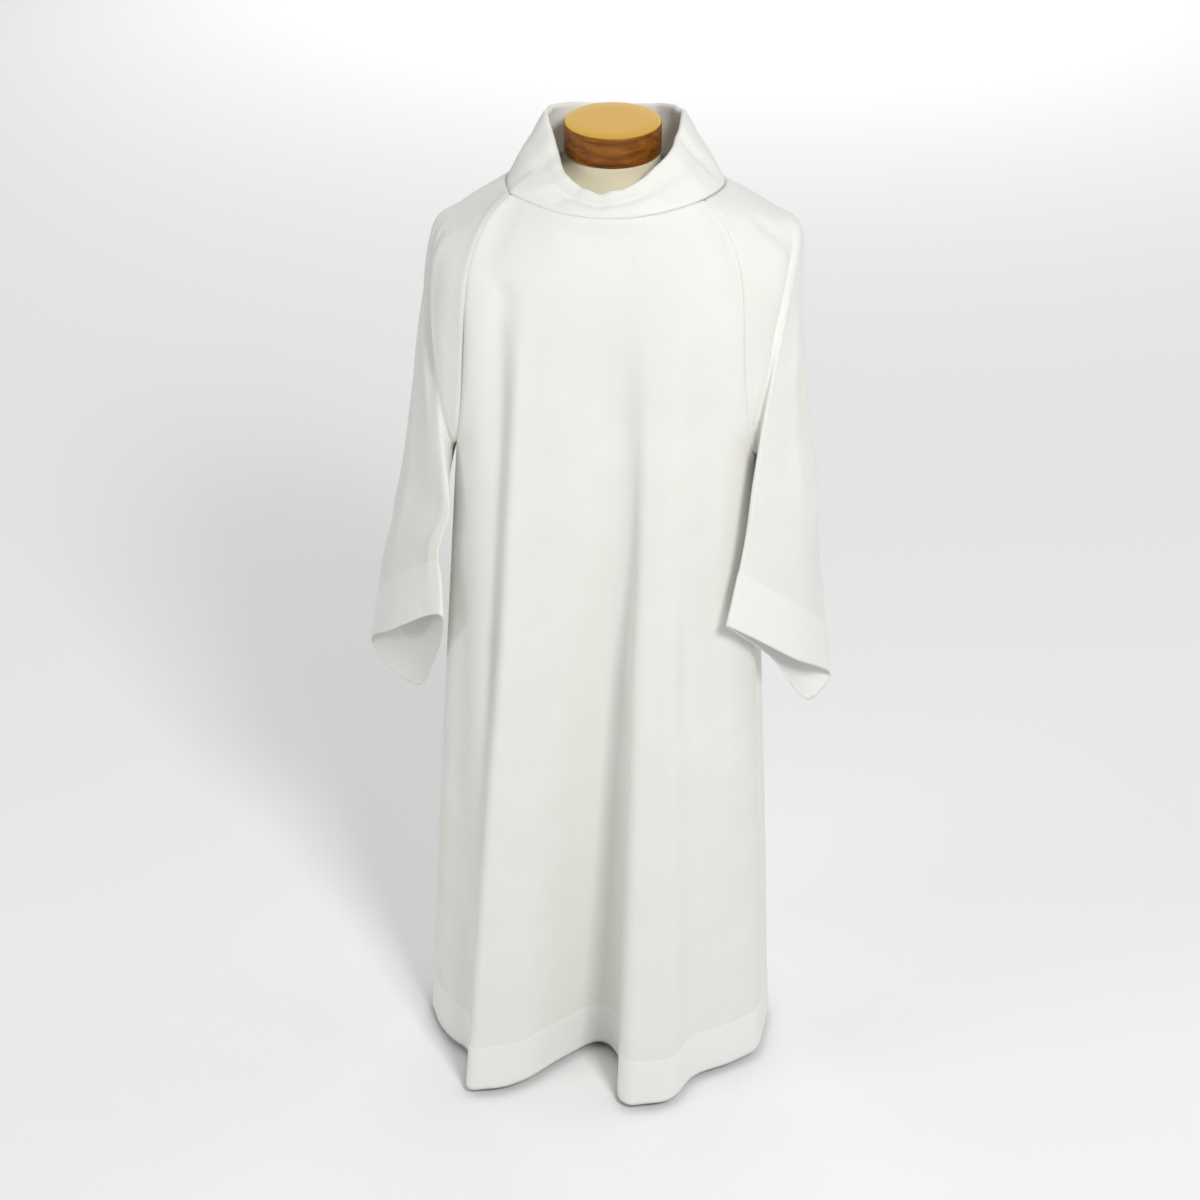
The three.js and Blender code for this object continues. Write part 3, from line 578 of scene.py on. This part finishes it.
def panel_rows():
    """Heights of the rows of a panel, up to the underarm and on up the raglan seam."""
    hem_top = HEM_Z + HEM_DEPTH
    band = np.linspace(HEM_Z, hem_top + HEM_TURN_ROWS[0], HEM_BAND_ROWS)
    turn = hem_top + np.array(HEM_TURN_ROWS[1:])
    count = round((UNDERARM_Z - hem_top) / SKIRT_ROW)
    skirt = np.linspace(hem_top + HEM_TURN_ROWS[-1], UNDERARM_Z, count)[1:-1]
    return np.concatenate([band, turn, skirt])


def panel_points(lines, raglan, seams, neck):
    """The panel as it hangs. `seams` gives the side seam and the side, 1 or -1, of its two edges."""
    at = np.linspace(0, RAGLAN_TOP, RAGLAN_TOP * RAGLAN_ROWS + 1)
    heights = np.concatenate([panel_rows(), column(raglan, "at", "z", at)])
    top = raglan[-1]
    edges = []
    for side_seam, side in seams:
        low = upright_line(side_seam, heights)
        high = upright_line(raglan, heights) * (side, 1, 1)
        edges.append(np.where((heights > UNDERARM_Z)[:, None], high, low))
    widest = next(row["x"] for row in raglan if row["z"] == CHEST_Z)
    falls = [edges[0]]
    for line in lines:
        share = line["chest"][0] / widest
        stations = [
            *({"z": z, "x": line[name][0], "y": line[name][1]} for name, z in STATIONS.items()),
            {"z": top["z"], "x": top["x"] * share,
             "y": top["y"] + (neck["y"] - top["y"]) * (1 - share**2)},
        ]
        falls.append(upright_line(stations, heights))
    falls.append(edges[1])
    across = across_places(len(lines) + 1, COLUMNS_BETWEEN_LINES)
    points = drape(np.stack(falls, axis=1), across)
    rise = np.clip((heights - CHEST_Z) / (top["z"] - CHEST_Z), 0, 1)[:, None]
    sag = (top["z"] - neck["z"]) * np.maximum(0, 1 - (points[:, :, 0] / top["x"]) ** 2) * rise**2
    points[:, 1:-1, 2] -= sag[:, 1:-1]
    return points


def dress_panel(points, creases, facing=1):
    """Adds the creases, seams and hem to a panel's points, and returns them with their place on the cut."""
    across, up = along(points, 1), along(points, 0)
    u = across - across[:, -1:] / 2
    from_side = np.minimum(across, across[:, -1:] - across)
    from_top = up[-1:] - up
    clear = smooth_step(0, CREASE_CLEAR, from_side) * smooth_step(0, CREASE_CLEAR, from_top)
    relief = crease_depth(points[:, :, 0], points[:, :, 2], creases, ("x0", "z0", "x1", "z1")) * clear
    relief += seam_relief(from_side) + COLLAR_SEAM_SHARE * seam_relief(from_top)
    relief += hem_relief(up)
    return points + outward(points, facing) * relief[:, :, None], u, up


def cloth_piece(points, u, v, name, node, closed_rows=0):
    """A thin shell of cloth on a grid of points, with its place on the cut as UVs."""
    rows, columns = points.shape[:2]
    shape = grid_shape(points)
    uv_layer = shape.loops.layers.uv.new("cut")
    from_hem = shape.verts.layers.float.new("from_hem")
    shape.verts.index_update()
    flat_u, flat_v = u.reshape(-1) * MM, v.reshape(-1) * MM
    for vertex in shape.verts:
        vertex[from_hem] = flat_v[vertex.index]
    for face in shape.faces:
        for loop in face.loops:
            loop[uv_layer].uv = (flat_u[loop.vert.index], flat_v[loop.vert.index])
    if closed_rows:
        shape.verts.ensure_lookup_table()
        edge = [shape.verts[r * columns + c] for r in range(closed_rows) for c in (0, columns - 1)]
        bmesh.ops.remove_doubles(shape, verts=edge, dist=CLOSING_DISTANCE)
    piece = finish_piece(shape, name, alb_cloth, node)
    shell = piece.modifiers.new("cloth", "SOLIDIFY")
    shell.thickness = SHELL * MM
    shell.offset = -1.0
    return piece


def plain_weave():
    """Ivory white plain weave: fine threads both ways, faint slubs and a lighter double layer at the hems."""
    material, shader, node, join = new_material("alb_cloth")
    shader.inputs["Roughness"].default_value = 0.82
    shader.inputs["Sheen Weight"].default_value = 0.18
    shader.inputs["Sheen Roughness"].default_value = 0.45
    cut = node("ShaderNodeUVMap", uv_map="cut")
    place = node("ShaderNodeTexCoord")
    warp = node("ShaderNodeTexWave", THREADS, wave_type="BANDS", bands_direction="X")
    weft = node("ShaderNodeTexWave", THREADS, wave_type="BANDS", bands_direction="Y")
    weave = node("ShaderNodeMath", operation="ADD")
    slub = node("ShaderNodeTexNoise", {"Scale": 1.0, "Detail": 3.0})
    slub_stretch = node("ShaderNodeMapping", {"Scale": (60.0, 900.0, 1.0)})
    mottle = node("ShaderNodeTexNoise", {"Scale": 14.0, "Detail": 4.0, "Roughness": 0.5})
    ramp = two_tones(node, CLOTH_SHADE, CLOTH_LIGHT, 0.3, 0.7)
    from_hem = node("ShaderNodeAttribute", attribute_name="from_hem")
    band = node("ShaderNodeMapRange", {"From Min": (HEM_DEPTH + 1) * MM, "From Max": (HEM_DEPTH - 1) * MM})
    doubled = node("ShaderNodeMix", data_type="RGBA")
    doubled.inputs[7].default_value = CLOTH_DOUBLED
    slubs = node("ShaderNodeBump", {"Strength": 0.10, "Distance": 0.0003})
    join(cut, warp.inputs["Vector"], "UV")
    join(cut, weft.inputs["Vector"], "UV")
    join(warp, weave.inputs[0], "Fac")
    join(weft, weave.inputs[1], "Fac")
    join(cut, slub_stretch.inputs["Vector"], "UV")
    join(slub_stretch, slub.inputs["Vector"], "Vector")
    join(place, mottle.inputs["Vector"], "Object")
    join(mottle, ramp.inputs["Fac"], "Fac")
    join(from_hem, band.inputs["Value"], "Fac")
    join(band, doubled.inputs["Factor"], "Result")
    join(ramp, doubled.inputs[6], "Color")
    join(doubled, shader.inputs["Base Color"], 2)
    join(slub, slubs.inputs["Height"], "Fac")
    threads = add_bump(node, join, shader, weave, "Value", 0.22, 0.0003)
    join(slubs, threads.inputs["Normal"], "Normal")
    return material


alb_cloth = plain_weave()

front_edges = [(RIGHT_SIDE_SEAM, -1), (LEFT_SIDE_SEAM, 1)]
front_points = panel_points(FRONT_LINES, FRONT_RAGLAN, front_edges, FRONT_NECK)
front = cloth_piece(*dress_panel(front_points, FRONT_CREASES), "front", "alb_front")

# ---- alb: back -----------------------------------------------------------------------------------------
# One panel of the same cloth, cut like the front with a higher neck. It hangs in three shallow folds.

BACK_RAGLAN = [
    {"at": 0, "z": UNDERARM_Z, "x": 200, "y": -5},
    {"at": 1, "z": 989, "x": 198, "y": 36},
    {"at": 2, "z": 1003, "x": 195, "y": 64},
    {"at": 3, "z": 1030, "x": 191, "y": 84},
    {"at": 4, "z": 1068, "x": 186, "y": 94},
    {"at": 5, "z": 1116, "x": 180, "y": 100},
    {"at": 6, "z": 1166, "x": 175, "y": 104},
    {"at": 7, "z": CHEST_Z, "x": 170, "y": 105},
    {"at": 8, "z": 1252, "x": 163, "y": 97},
    {"at": 9, "z": 1284, "x": 152, "y": 86},
    {"at": 10, "z": 1309, "x": 139, "y": 75},
    {"at": 11, "z": 1328, "x": 126, "y": 64},
    {"at": 12, "z": 1342, "x": 113, "y": 52},
]
BACK_LINES = [
    {"chest": (156, 111), "armhole": (178, 95), "underarm": (192, 62),
     "knee": (231, 54), "hem": (252, 60)},
    {"chest": (138, 115), "armhole": (160, 106), "underarm": (176, 94),
     "knee": (203, 108), "hem": (215, 118)},
    {"chest": (116, 119), "armhole": (134, 118), "underarm": (148, 118),
     "knee": (166, 150), "hem": (178, 170)},
    {"chest": (94, 122), "armhole": (106, 125), "underarm": (116, 128),
     "knee": (127, 155), "hem": (134, 172)},
    {"chest": (70, 124), "armhole": (78, 125), "underarm": (84, 125),
     "knee": (91, 122), "hem": (96, 121)},
    {"chest": (42, 125), "armhole": (46, 126), "underarm": (50, 127),
     "knee": (54, 130), "hem": (54, 128)},
    {"chest": (14, 125), "armhole": (16, 128), "underarm": (17, 132),
     "knee": (19, 164), "hem": (20, 183)},
    {"chest": (-14, 125), "armhole": (-15, 128), "underarm": (-16, 132),
     "knee": (-24, 165), "hem": (-28, 185)},
    {"chest": (-42, 125), "armhole": (-46, 126), "underarm": (-50, 128),
     "knee": (-60, 138), "hem": (-66, 140)},
    {"chest": (-70, 124), "armhole": (-78, 125), "underarm": (-84, 125),
     "knee": (-99, 123), "hem": (-108, 124)},
    {"chest": (-94, 122), "armhole": (-106, 125), "underarm": (-116, 128),
     "knee": (-139, 154), "hem": (-152, 170)},
    {"chest": (-116, 119), "armhole": (-134, 118), "underarm": (-148, 118),
     "knee": (-178, 146), "hem": (-196, 164)},
    {"chest": (-138, 115), "armhole": (-160, 106), "underarm": (-176, 94),
     "knee": (-215, 104), "hem": (-233, 114)},
    {"chest": (-156, 111), "armhole": (-178, 95), "underarm": (-192, 62),
     "knee": (-239, 58), "hem": (-260, 66)},
]
BACK_NECK = {"y": 80, "z": 1329}
BACK_CREASES = [
    {"x0": 104, "z0": 1200, "x1": 122, "z1": 520, "width": 18, "depth": 6.4, "bow": 4},
    {"x0": 62, "z0": 1150, "x1": 76, "z1": 480, "width": 20, "depth": -8, "bow": -4},
    {"x0": 8, "z0": 1215, "x1": 2, "z1": 560, "width": 20, "depth": 6.4, "bow": 3},
    {"x0": -56, "z0": 1180, "x1": -70, "z1": 430, "width": 19, "depth": -8, "bow": 5},
    {"x0": -108, "z0": 1190, "x1": -132, "z1": 500, "width": 18, "depth": 6.4, "bow": -3},
    {"x0": 150, "z0": 980, "x1": 180, "z1": 240, "width": 15, "depth": -4.8, "bow": 4},
    {"x0": -152, "z0": 1000, "x1": -190, "z1": 300, "width": 16, "depth": -4.8, "bow": -5},
    {"x0": 34, "z0": 760, "x1": 40, "z1": 120, "width": 14, "depth": 3.2, "bow": 4},
    {"x0": -36, "z0": 820, "x1": -46, "z1": 140, "width": 15, "depth": -3.2, "bow": -4},
    {"x0": -60, "z0": 1296, "x1": 66, "z1": 1294, "width": 14, "depth": -4},
    {"x0": 140, "z0": 1244, "x1": 84, "z1": 1178, "width": 12, "depth": -2.9, "bow": 4},
    {"x0": -138, "z0": 1240, "x1": -90, "z1": 1170, "width": 12, "depth": -2.9, "bow": -4},
    {"x0": 132, "z0": 900, "x1": 176, "z1": -380, "width": 15, "depth": 6},
    {"x0": 70, "z0": 900, "x1": 96, "z1": -380, "width": 18, "depth": -8},
    {"x0": 18, "z0": 860, "x1": 22, "z1": -380, "width": 15, "depth": 6, "bow": 3},
    {"x0": -52, "z0": 900, "x1": -66, "z1": -380, "width": 18, "depth": -8, "bow": 4},
    {"x0": -118, "z0": 900, "x1": -156, "z1": -380, "width": 15, "depth": 6},
    {"x0": -176, "z0": 900, "x1": -238, "z1": -380, "width": 16, "depth": -6},
]

back_edges = [(LEFT_SIDE_SEAM, 1), (RIGHT_SIDE_SEAM, -1)]
back_points = panel_points(BACK_LINES, BACK_RAGLAN, back_edges, BACK_NECK)
back = cloth_piece(*dress_panel(back_points, BACK_CREASES), "back", "alb_back")

# ---- alb: sleeves --------------------------------------------------------------------------------------
# Each sleeve is one piece that runs up between the raglan seams to the neckline, with its own seam under
# the arm and a three inch hem at the wide cuff. It hangs flat, folded along a crease from the shoulder.

# Each row is a hoop of the sleeve from its seam on the front to its seam on the back: over the front, the
# crease, the outer side, the back fold and the rear. `at` counts the rows of the raglan tables up from the
# underarm. Below it the sleeve is a closed tube.
LEFT_SLEEVE = [
    {"at": -8, "seam": (288, 31, 577), "front": (231, -49, 686), "crease": (168, -147, 785),
     "outer": (259, -61, 694), "back": (317, 52, 604), "rear": (306, 46, 584)},
    {"at": -4, "seam": (250, 18, 818), "front": (213, -68, 862), "crease": (189, -130, 905),
     "outer": (270, -36, 850), "back": (290, 62, 800), "rear": (272, 46, 806)},
    {"at": -2, "outer": (283, -10, 900), "back": (275, 72, 862)},
    {"at": 0, "seam": (200, -5, 985), "front": (205, -68, 966), "crease": (197, -120, 985),
     "outer": (279, 6, 950), "back": (250, 86, 925), "rear": (216, 48, 955)},
    {"at": 3, "front": (199, -92, 1052), "crease": (209, -99, 1078),
     "outer": (262, 12, 1060), "back": (246, 84, 1030), "rear": (220, 97, 1026)},
    {"at": 5, "front": (207, -85, 1146), "crease": (228, -46, 1190),
     "outer": (250, 22, 1180), "back": (238, 73, 1142), "rear": (214, 96, 1126)},
    {"at": 7, "front": (213, -80, 1243), "crease": (241.5, -12, 1280),
     "outer": (242.4, 20, 1275), "back": (230, 58, 1256), "rear": (205, 86, 1236)},
    {"at": 9, "front": (188, -62, 1301), "crease": (205, -12, 1307),
     "outer": (206, 14, 1305.5), "back": (199, 40, 1301), "rear": (180, 64, 1294)},
    {"at": 12, "front": (136, -42, 1337.5), "crease": (144, -10, 1337.5),
     "outer": (143, 12, 1338), "back": (136, 30, 1339.5), "rear": (126, 43, 1341)},
]
RIGHT_SLEEVE = [
    {"at": -8, "seam": (-281, 42, 567), "front": (-242, -30, 638), "crease": (-214, -115, 766),
     "outer": (-297, -24, 692), "back": (-348, 90, 606), "rear": (-327, 74, 582)},
    {"at": -6, "crease": (-215, -111, 814)},
    {"at": -4, "seam": (-274, 38, 774), "front": (-232, -52, 806), "crease": (-217, -106, 862),
     "outer": (-294, -4, 818), "back": (-317, 80, 772), "rear": (-298, 64, 768)},
    {"at": -2, "crease": (-201, -108, 914), "outer": (-292, 8, 874)},
    {"at": 0, "seam": (-200, -5, 985), "front": (-203, -66, 962), "crease": (-204, -104, 962),
     "outer": (-281, 16, 930), "back": (-258, 92, 905), "rear": (-223, 56, 948)},
    {"at": 3, "front": (-206, -88, 1050), "crease": (-222, -72, 1085),
     "outer": (-264, 22, 1046), "back": (-250, 84, 1022), "rear": (-222, 97, 1021)},
    {"at": 5, "front": (-212, -83, 1140), "crease": (-231, -34, 1185),
     "outer": (-247, 24, 1165), "back": (-238, 73, 1136), "rear": (-213, 96, 1124)},
    {"at": 7, "front": (-205, -80, 1237), "crease": (-225, -12, 1271),
     "outer": (-227, 20, 1267), "back": (-218, 58, 1250), "rear": (-198, 86, 1234)},
    {"at": 9, "front": (-178, -62, 1294), "crease": (-192, -12, 1299),
     "outer": (-193, 14, 1298), "back": (-187, 40, 1295), "rear": (-172, 64, 1290)},
    {"at": 12, "front": (-127, -42, 1335.5), "crease": (-131.5, -10, 1335),
     "outer": (-131, 12, 1336), "back": (-126, 30, 1338), "rear": (-119, 43, 1340.5)},
]
# Soft creases. `c` is the place across in points of a hoop (1 front, 2 crease, 3 outer, 4 back, 5 rear) and
# `at` the row. Widths, depths and bows are in millimetres, and a bow is there only where a crease has one.
LEFT_SLEEVE_CREASES = [
    {"c0": 0.8, "at0": 10.2, "c1": 1.1, "at1": 2.8, "width": 12, "depth": -4},
    {"c0": 1.5, "at0": 8.6, "c1": 1.6, "at1": 3.4, "width": 10, "depth": -6},
    {"c0": 2, "at0": 7.6, "c1": 2, "at1": -7, "width": 6, "depth": 2},
    {"c0": 2.6, "at0": 5.5, "c1": 2.9, "at1": -5, "width": 16, "depth": 3, "bow": 4},
    {"c0": 3.3, "at0": 6.5, "c1": 3.5, "at1": -3, "width": 14, "depth": -2.5, "bow": -3},
    {"c0": 3.9, "at0": 7.5, "c1": 3.7, "at1": 0, "width": 12, "depth": 2.5, "bow": 3},
    {"c0": 4.6, "at0": 8, "c1": 4.4, "at1": 1, "width": 12, "depth": -3, "bow": 2},
    {"c0": 2.5, "at0": -1, "c1": 3.6, "at1": -4.5, "width": 12, "depth": -1.5, "bow": 5},
]
RIGHT_SLEEVE_CREASES = [
    {"c0": 1.75, "at0": 8.2, "c1": 2.1, "at1": 2.4, "width": 9, "depth": -8},
    {"c0": 0.9, "at0": 8.4, "c1": 1, "at1": 2.4, "width": 10, "depth": 3},
    {"c0": 1.4, "at0": 8, "c1": 1.45, "at1": 4.4, "width": 6, "depth": -2},
    {"c0": 2.35, "at0": 7.4, "c1": 2.3, "at1": 1, "width": 8, "depth": 3},
    {"c0": 2, "at0": 1, "c1": 2.3, "at1": -7.5, "width": 8, "depth": 2},
    {"c0": 2.8, "at0": 5.5, "c1": 3, "at1": -6, "width": 15, "depth": 2.5, "bow": 3},
    {"c0": 3.4, "at0": 6.5, "c1": 3.4, "at1": -2, "width": 14, "depth": -2.5, "bow": -3},
    {"c0": 4, "at0": 7.5, "c1": 3.8, "at1": 0.5, "width": 12, "depth": 2.5, "bow": 3},
    {"c0": 4.6, "at0": 8, "c1": 4.4, "at1": 1, "width": 12, "depth": -3, "bow": 2},
    {"c0": 2.35, "at0": -7.9, "c1": 2.5, "at1": -6.9, "width": 5, "depth": -1.6, "bow": 1},
    {"c0": 2.6, "at0": -7.9, "c1": 2.7, "at1": -7.1, "width": 5, "depth": 1.4},
]
HOOP_POINTS = ("front", "crease", "outer", "back", "rear")
CUFF_AT = -8
SLEEVE_ROWS = 10  # for each step of `at` below the underarm
HOOP_COLUMNS = 22  # between two points of a hoop
CLOSING_AT = -2  # from here down the sleeve is a closed tube
SEWN_AT = -6  # its own seam grows faint towards the cuff, down to this row
FAINT_SEAM = 0.35
SLEEVE_CLEAR = 16  # creases fade out this near the sleeve's side seams


def sleeve_points(table, side):
    """The sleeve as it hangs, with `at` for each row and the place across for each column."""
    low = np.linspace(CUFF_AT, 0, -CUFF_AT * SLEEVE_ROWS + 1)[:-1]
    at = np.concatenate([low, np.linspace(0, RAGLAN_TOP, RAGLAN_TOP * RAGLAN_ROWS + 1)])

    def line(name):
        rows = [{"at": row["at"], **dict(zip("xyz", row[name]))} for row in table if name in row]
        return np.stack([column(rows, "at", "xyz"[axis], at) for axis in range(3)], axis=-1)

    own_seam = line("seam")
    raised = (at > 0)[:, None]
    first = np.where(raised, raglan_point(FRONT_RAGLAN, np.maximum(at, 0), side), own_seam)
    last = np.where(raised, raglan_point(BACK_RAGLAN, np.maximum(at, 0), side), own_seam)
    hoop = [line(name) for name in HOOP_POINTS]
    across = across_places(len(hoop) + 1, HOOP_COLUMNS)
    cut_open = drape(np.stack([first, *hoop, last], axis=1), across)
    tube = drape(np.stack([own_seam, *hoop], axis=1), across, closed=True)
    tube[:, -1] = tube[:, 0]
    closing = (1 - smooth_step(CLOSING_AT, 0, at))[:, None, None]
    return cut_open * (1 - closing) + tube * closing, at, across


def dress_sleeve(table, creases, side):
    """Adds the creases, seams and hem to a sleeve's points, and returns them with their place on the cut."""
    points, at, places = sleeve_points(table, side)
    across, up = along(points, 1), along(points, 0)
    fold = np.argmin(abs(places - 2))  # the crease, where the cut's middle is
    u = across - across[:, fold:fold + 1]
    from_side = np.minimum(across, across[:, -1:] - across)
    from_top = up[-1:] - up
    mapped = []
    for row in creases:
        ends = {}
        for end in "01":
            r, c = np.argmin(abs(at - row["at" + end])), np.argmin(abs(places - row["c" + end]))
            ends["u" + end], ends["v" + end] = u[r, c], up[r, c]
        mapped.append({**row, **ends})
    clear = smooth_step(0, SLEEVE_CLEAR, from_side) * smooth_step(0, CREASE_CLEAR, from_top)
    relief = crease_depth(u, up, mapped, ("u0", "v0", "u1", "v1")) * clear
    sewn = smooth_step(SEWN_AT, 0, at)[:, None]
    relief += seam_relief(from_side) * (FAINT_SEAM + (1 - FAINT_SEAM) * sewn)
    relief += COLLAR_SEAM_SHARE * seam_relief(from_top) + hem_relief(up)
    return points + outward(points, side) * relief[:, :, None], u, up


closed_rows = -CUFF_AT * SLEEVE_ROWS + 1
for name, node, table, creases, side in (
    ("sleeve_left", "alb_sleeve_left", LEFT_SLEEVE, LEFT_SLEEVE_CREASES, 1),
    ("sleeve_right", "alb_sleeve_right", RIGHT_SLEEVE, RIGHT_SLEEVE_CREASES, -1),
):
    points, u, v = dress_sleeve(table, creases, side)
    if side < 0:
        points, u, v = points[:, ::-1], u[:, ::-1], v[:, ::-1]
    sleeve = cloth_piece(points, u, v, name, node, closed_rows)

# ---- alb: collar ---------------------------------------------------------------------------------------
# One strip folded double along its rim, sewn round the neckline and left open as a soft funnel. The fold
# is round and a little wavy, and the strip creases at both sides of the neck.

COLLAR_RIM = [
    {"x": -7, "y": -98, "z": 1344},
    {"x": 8, "y": -100, "z": 1349},
    {"x": 19, "y": -99, "z": 1350},
    {"x": 32, "y": -95, "z": 1355},
    {"x": 47, "y": -88, "z": 1364},
    {"x": 77, "y": -58, "z": 1386},
    {"x": 88, "y": -32, "z": 1403},
    {"x": 92, "y": 0, "z": 1416},
    {"x": 90, "y": 38, "z": 1418},
    {"x": 64, "y": 78, "z": 1411},
    {"x": 24, "y": 96, "z": 1405},
    {"x": -20, "y": 96, "z": 1405},
    {"x": -62, "y": 78, "z": 1409},
    {"x": -86, "y": 38, "z": 1415},
    {"x": -85, "y": 0, "z": 1414},
    {"x": -77, "y": -20, "z": 1402},
    {"x": -69, "y": -38, "z": 1389},
    {"x": -60, "y": -60, "z": 1370},
    {"x": -50, "y": -74, "z": 1358},
    {"x": -36, "y": -85, "z": 1352},
    {"x": -22, "y": -93, "z": 1348},
]
COLLAR_BULGE = 3
# The dip below the rim, round the front: `share` up the collar, its width, and its reach in degrees.
ROLL_SHADE = {"share": 0.68, "width": 0.17, "depth": -6.5, "reach": 80}
COLLAR_AROUND = 240
RIM_STEPS = 600
COLLAR_LAYER = 7.5  # between the outer and the inner side of the folded strip
OUTER_ROWS = 22
RIM_ROWS = 9
INNER_ROWS = 16
INNER_DEPTH = 0.8  # how far down the inner side shows, as a share of the collar
COLLAR_CREASES = [
    {"turn": -62, "lean": 14, "width": 9, "depth": -4.5},
    {"turn": -44, "lean": 20, "width": 8, "depth": 2.5},
    {"turn": -28, "lean": 16, "width": 7, "depth": -2},
    {"turn": 40, "lean": -18, "width": 9, "depth": -3},
    {"turn": 58, "lean": -10, "width": 10, "depth": 3},
    {"turn": 76, "lean": -12, "width": 8, "depth": -3.5},
    {"turn": 112, "lean": 10, "width": 11, "depth": -3},
    {"turn": 150, "lean": -8, "width": 12, "depth": 2.5},
    {"turn": -104, "lean": -10, "width": 11, "depth": -3},
    {"turn": -152, "lean": 8, "width": 12, "depth": 2.5},
]


def by_bearing(ring, turn):
    """The points of a ring round the neck at the bearings `turn`, from the front by the wearer's left."""
    bearing = np.mod(np.arctan2(ring[:, 0], -ring[:, 1]), 2 * math.pi)
    order = np.argsort(bearing)
    known, ring = bearing[order], ring[order]
    return np.stack([np.interp(turn, known, ring[:, axis], period=2 * math.pi) for axis in range(3)], axis=1)


def neckline():
    """The seam of the collar, even in bearing, and those bearings."""
    left, _, _ = sleeve_points(LEFT_SLEEVE, 1)
    right, _, _ = sleeve_points(RIGHT_SLEEVE, -1)
    ring = np.concatenate([front_points[-1], left[-1, 1:-1], back_points[-1], right[-1, 1:-1][::-1]])
    turn = np.linspace(0, 2 * math.pi, COLLAR_AROUND + 1)
    return by_bearing(ring, turn), turn


def rim_line(turn):
    points = np.array([[row["x"], row["y"], row["z"]] for row in COLLAR_RIM], float)[None]
    dense = drape(points, np.linspace(0, len(COLLAR_RIM), RIM_STEPS)[:-1], closed=True)[0]
    return by_bearing(dense, turn)


def build_collar():
    seam, turn = neckline()
    rim = rim_line(turn)
    share = np.linspace(0, 1, OUTER_ROWS + 1)[:, None]
    out = seam * (1, 1, 0)
    out /= np.linalg.norm(out, axis=1, keepdims=True)
    bulge = (COLLAR_BULGE * np.sin(math.pi * share))[:, :, None]
    outer = seam + (rim - seam) * share[:, :, None] + out * bulge
    degrees = np.degrees(turn)
    height = np.linalg.norm(rim - seam, axis=1)
    relief = np.zeros_like(share * degrees)
    for row in COLLAR_CREASES:
        off = np.mod(degrees - row["turn"] - row["lean"] * (share - 0.5) + 180, 360) - 180
        reach = np.radians(off) * np.linalg.norm(rim[:, :2], axis=1)
        relief += row["depth"] * np.exp(-((reach / row["width"]) ** 2)) * smooth_step(0, 0.4, share)
    front_share = np.exp(-((((degrees + 180) % 360 - 180) / ROLL_SHADE["reach"]) ** 2))
    dip = np.exp(-(((share - ROLL_SHADE["share"]) / ROLL_SHADE["width"]) ** 2))
    relief += ROLL_SHADE["depth"] * dip * front_share
    relief += COLLAR_SEAM_SHARE * seam_relief(share * height)
    outer = outer + outward(outer, 1) * relief[:, :, None]
    rise = outer[-1] - outer[-3]
    rise /= np.linalg.norm(rise, axis=1, keepdims=True)
    face = np.cross(np.roll(outer[-1], -1, axis=0) - np.roll(outer[-1], 1, axis=0), rise)
    face /= np.linalg.norm(face, axis=1, keepdims=True)
    radius = COLLAR_LAYER / 2
    centre = outer[-1] - face * radius
    bend = np.linspace(0, math.pi, RIM_ROWS + 2)[1:-1, None, None]
    fold = centre + face * radius * np.cos(bend) + rise * radius * np.sin(bend)
    inner_share = 1 - INNER_DEPTH * np.linspace(0, 1, INNER_ROWS + 1)[:, None, None]
    index = inner_share[:, 0, 0] * OUTER_ROWS
    low = np.floor(index).astype(int)
    high = np.minimum(low + 1, OUTER_ROWS)
    part = (index - low)[:, None, None]
    skin = outer - outward(outer, 1) * COLLAR_LAYER
    skin[-1] = centre - face * radius
    inner = skin[low] * (1 - part) + skin[high] * part
    points = np.concatenate([outer, fold, inner])
    points[:, -1] = points[:, 0]
    u, v = along(points, 1), along(points, 0) + 2 * HEM_DEPTH  # clear of the hem's lighter band
    collar = cloth_piece(points, u, v, "collar", "alb_collar", closed_rows=len(points))


build_collar()
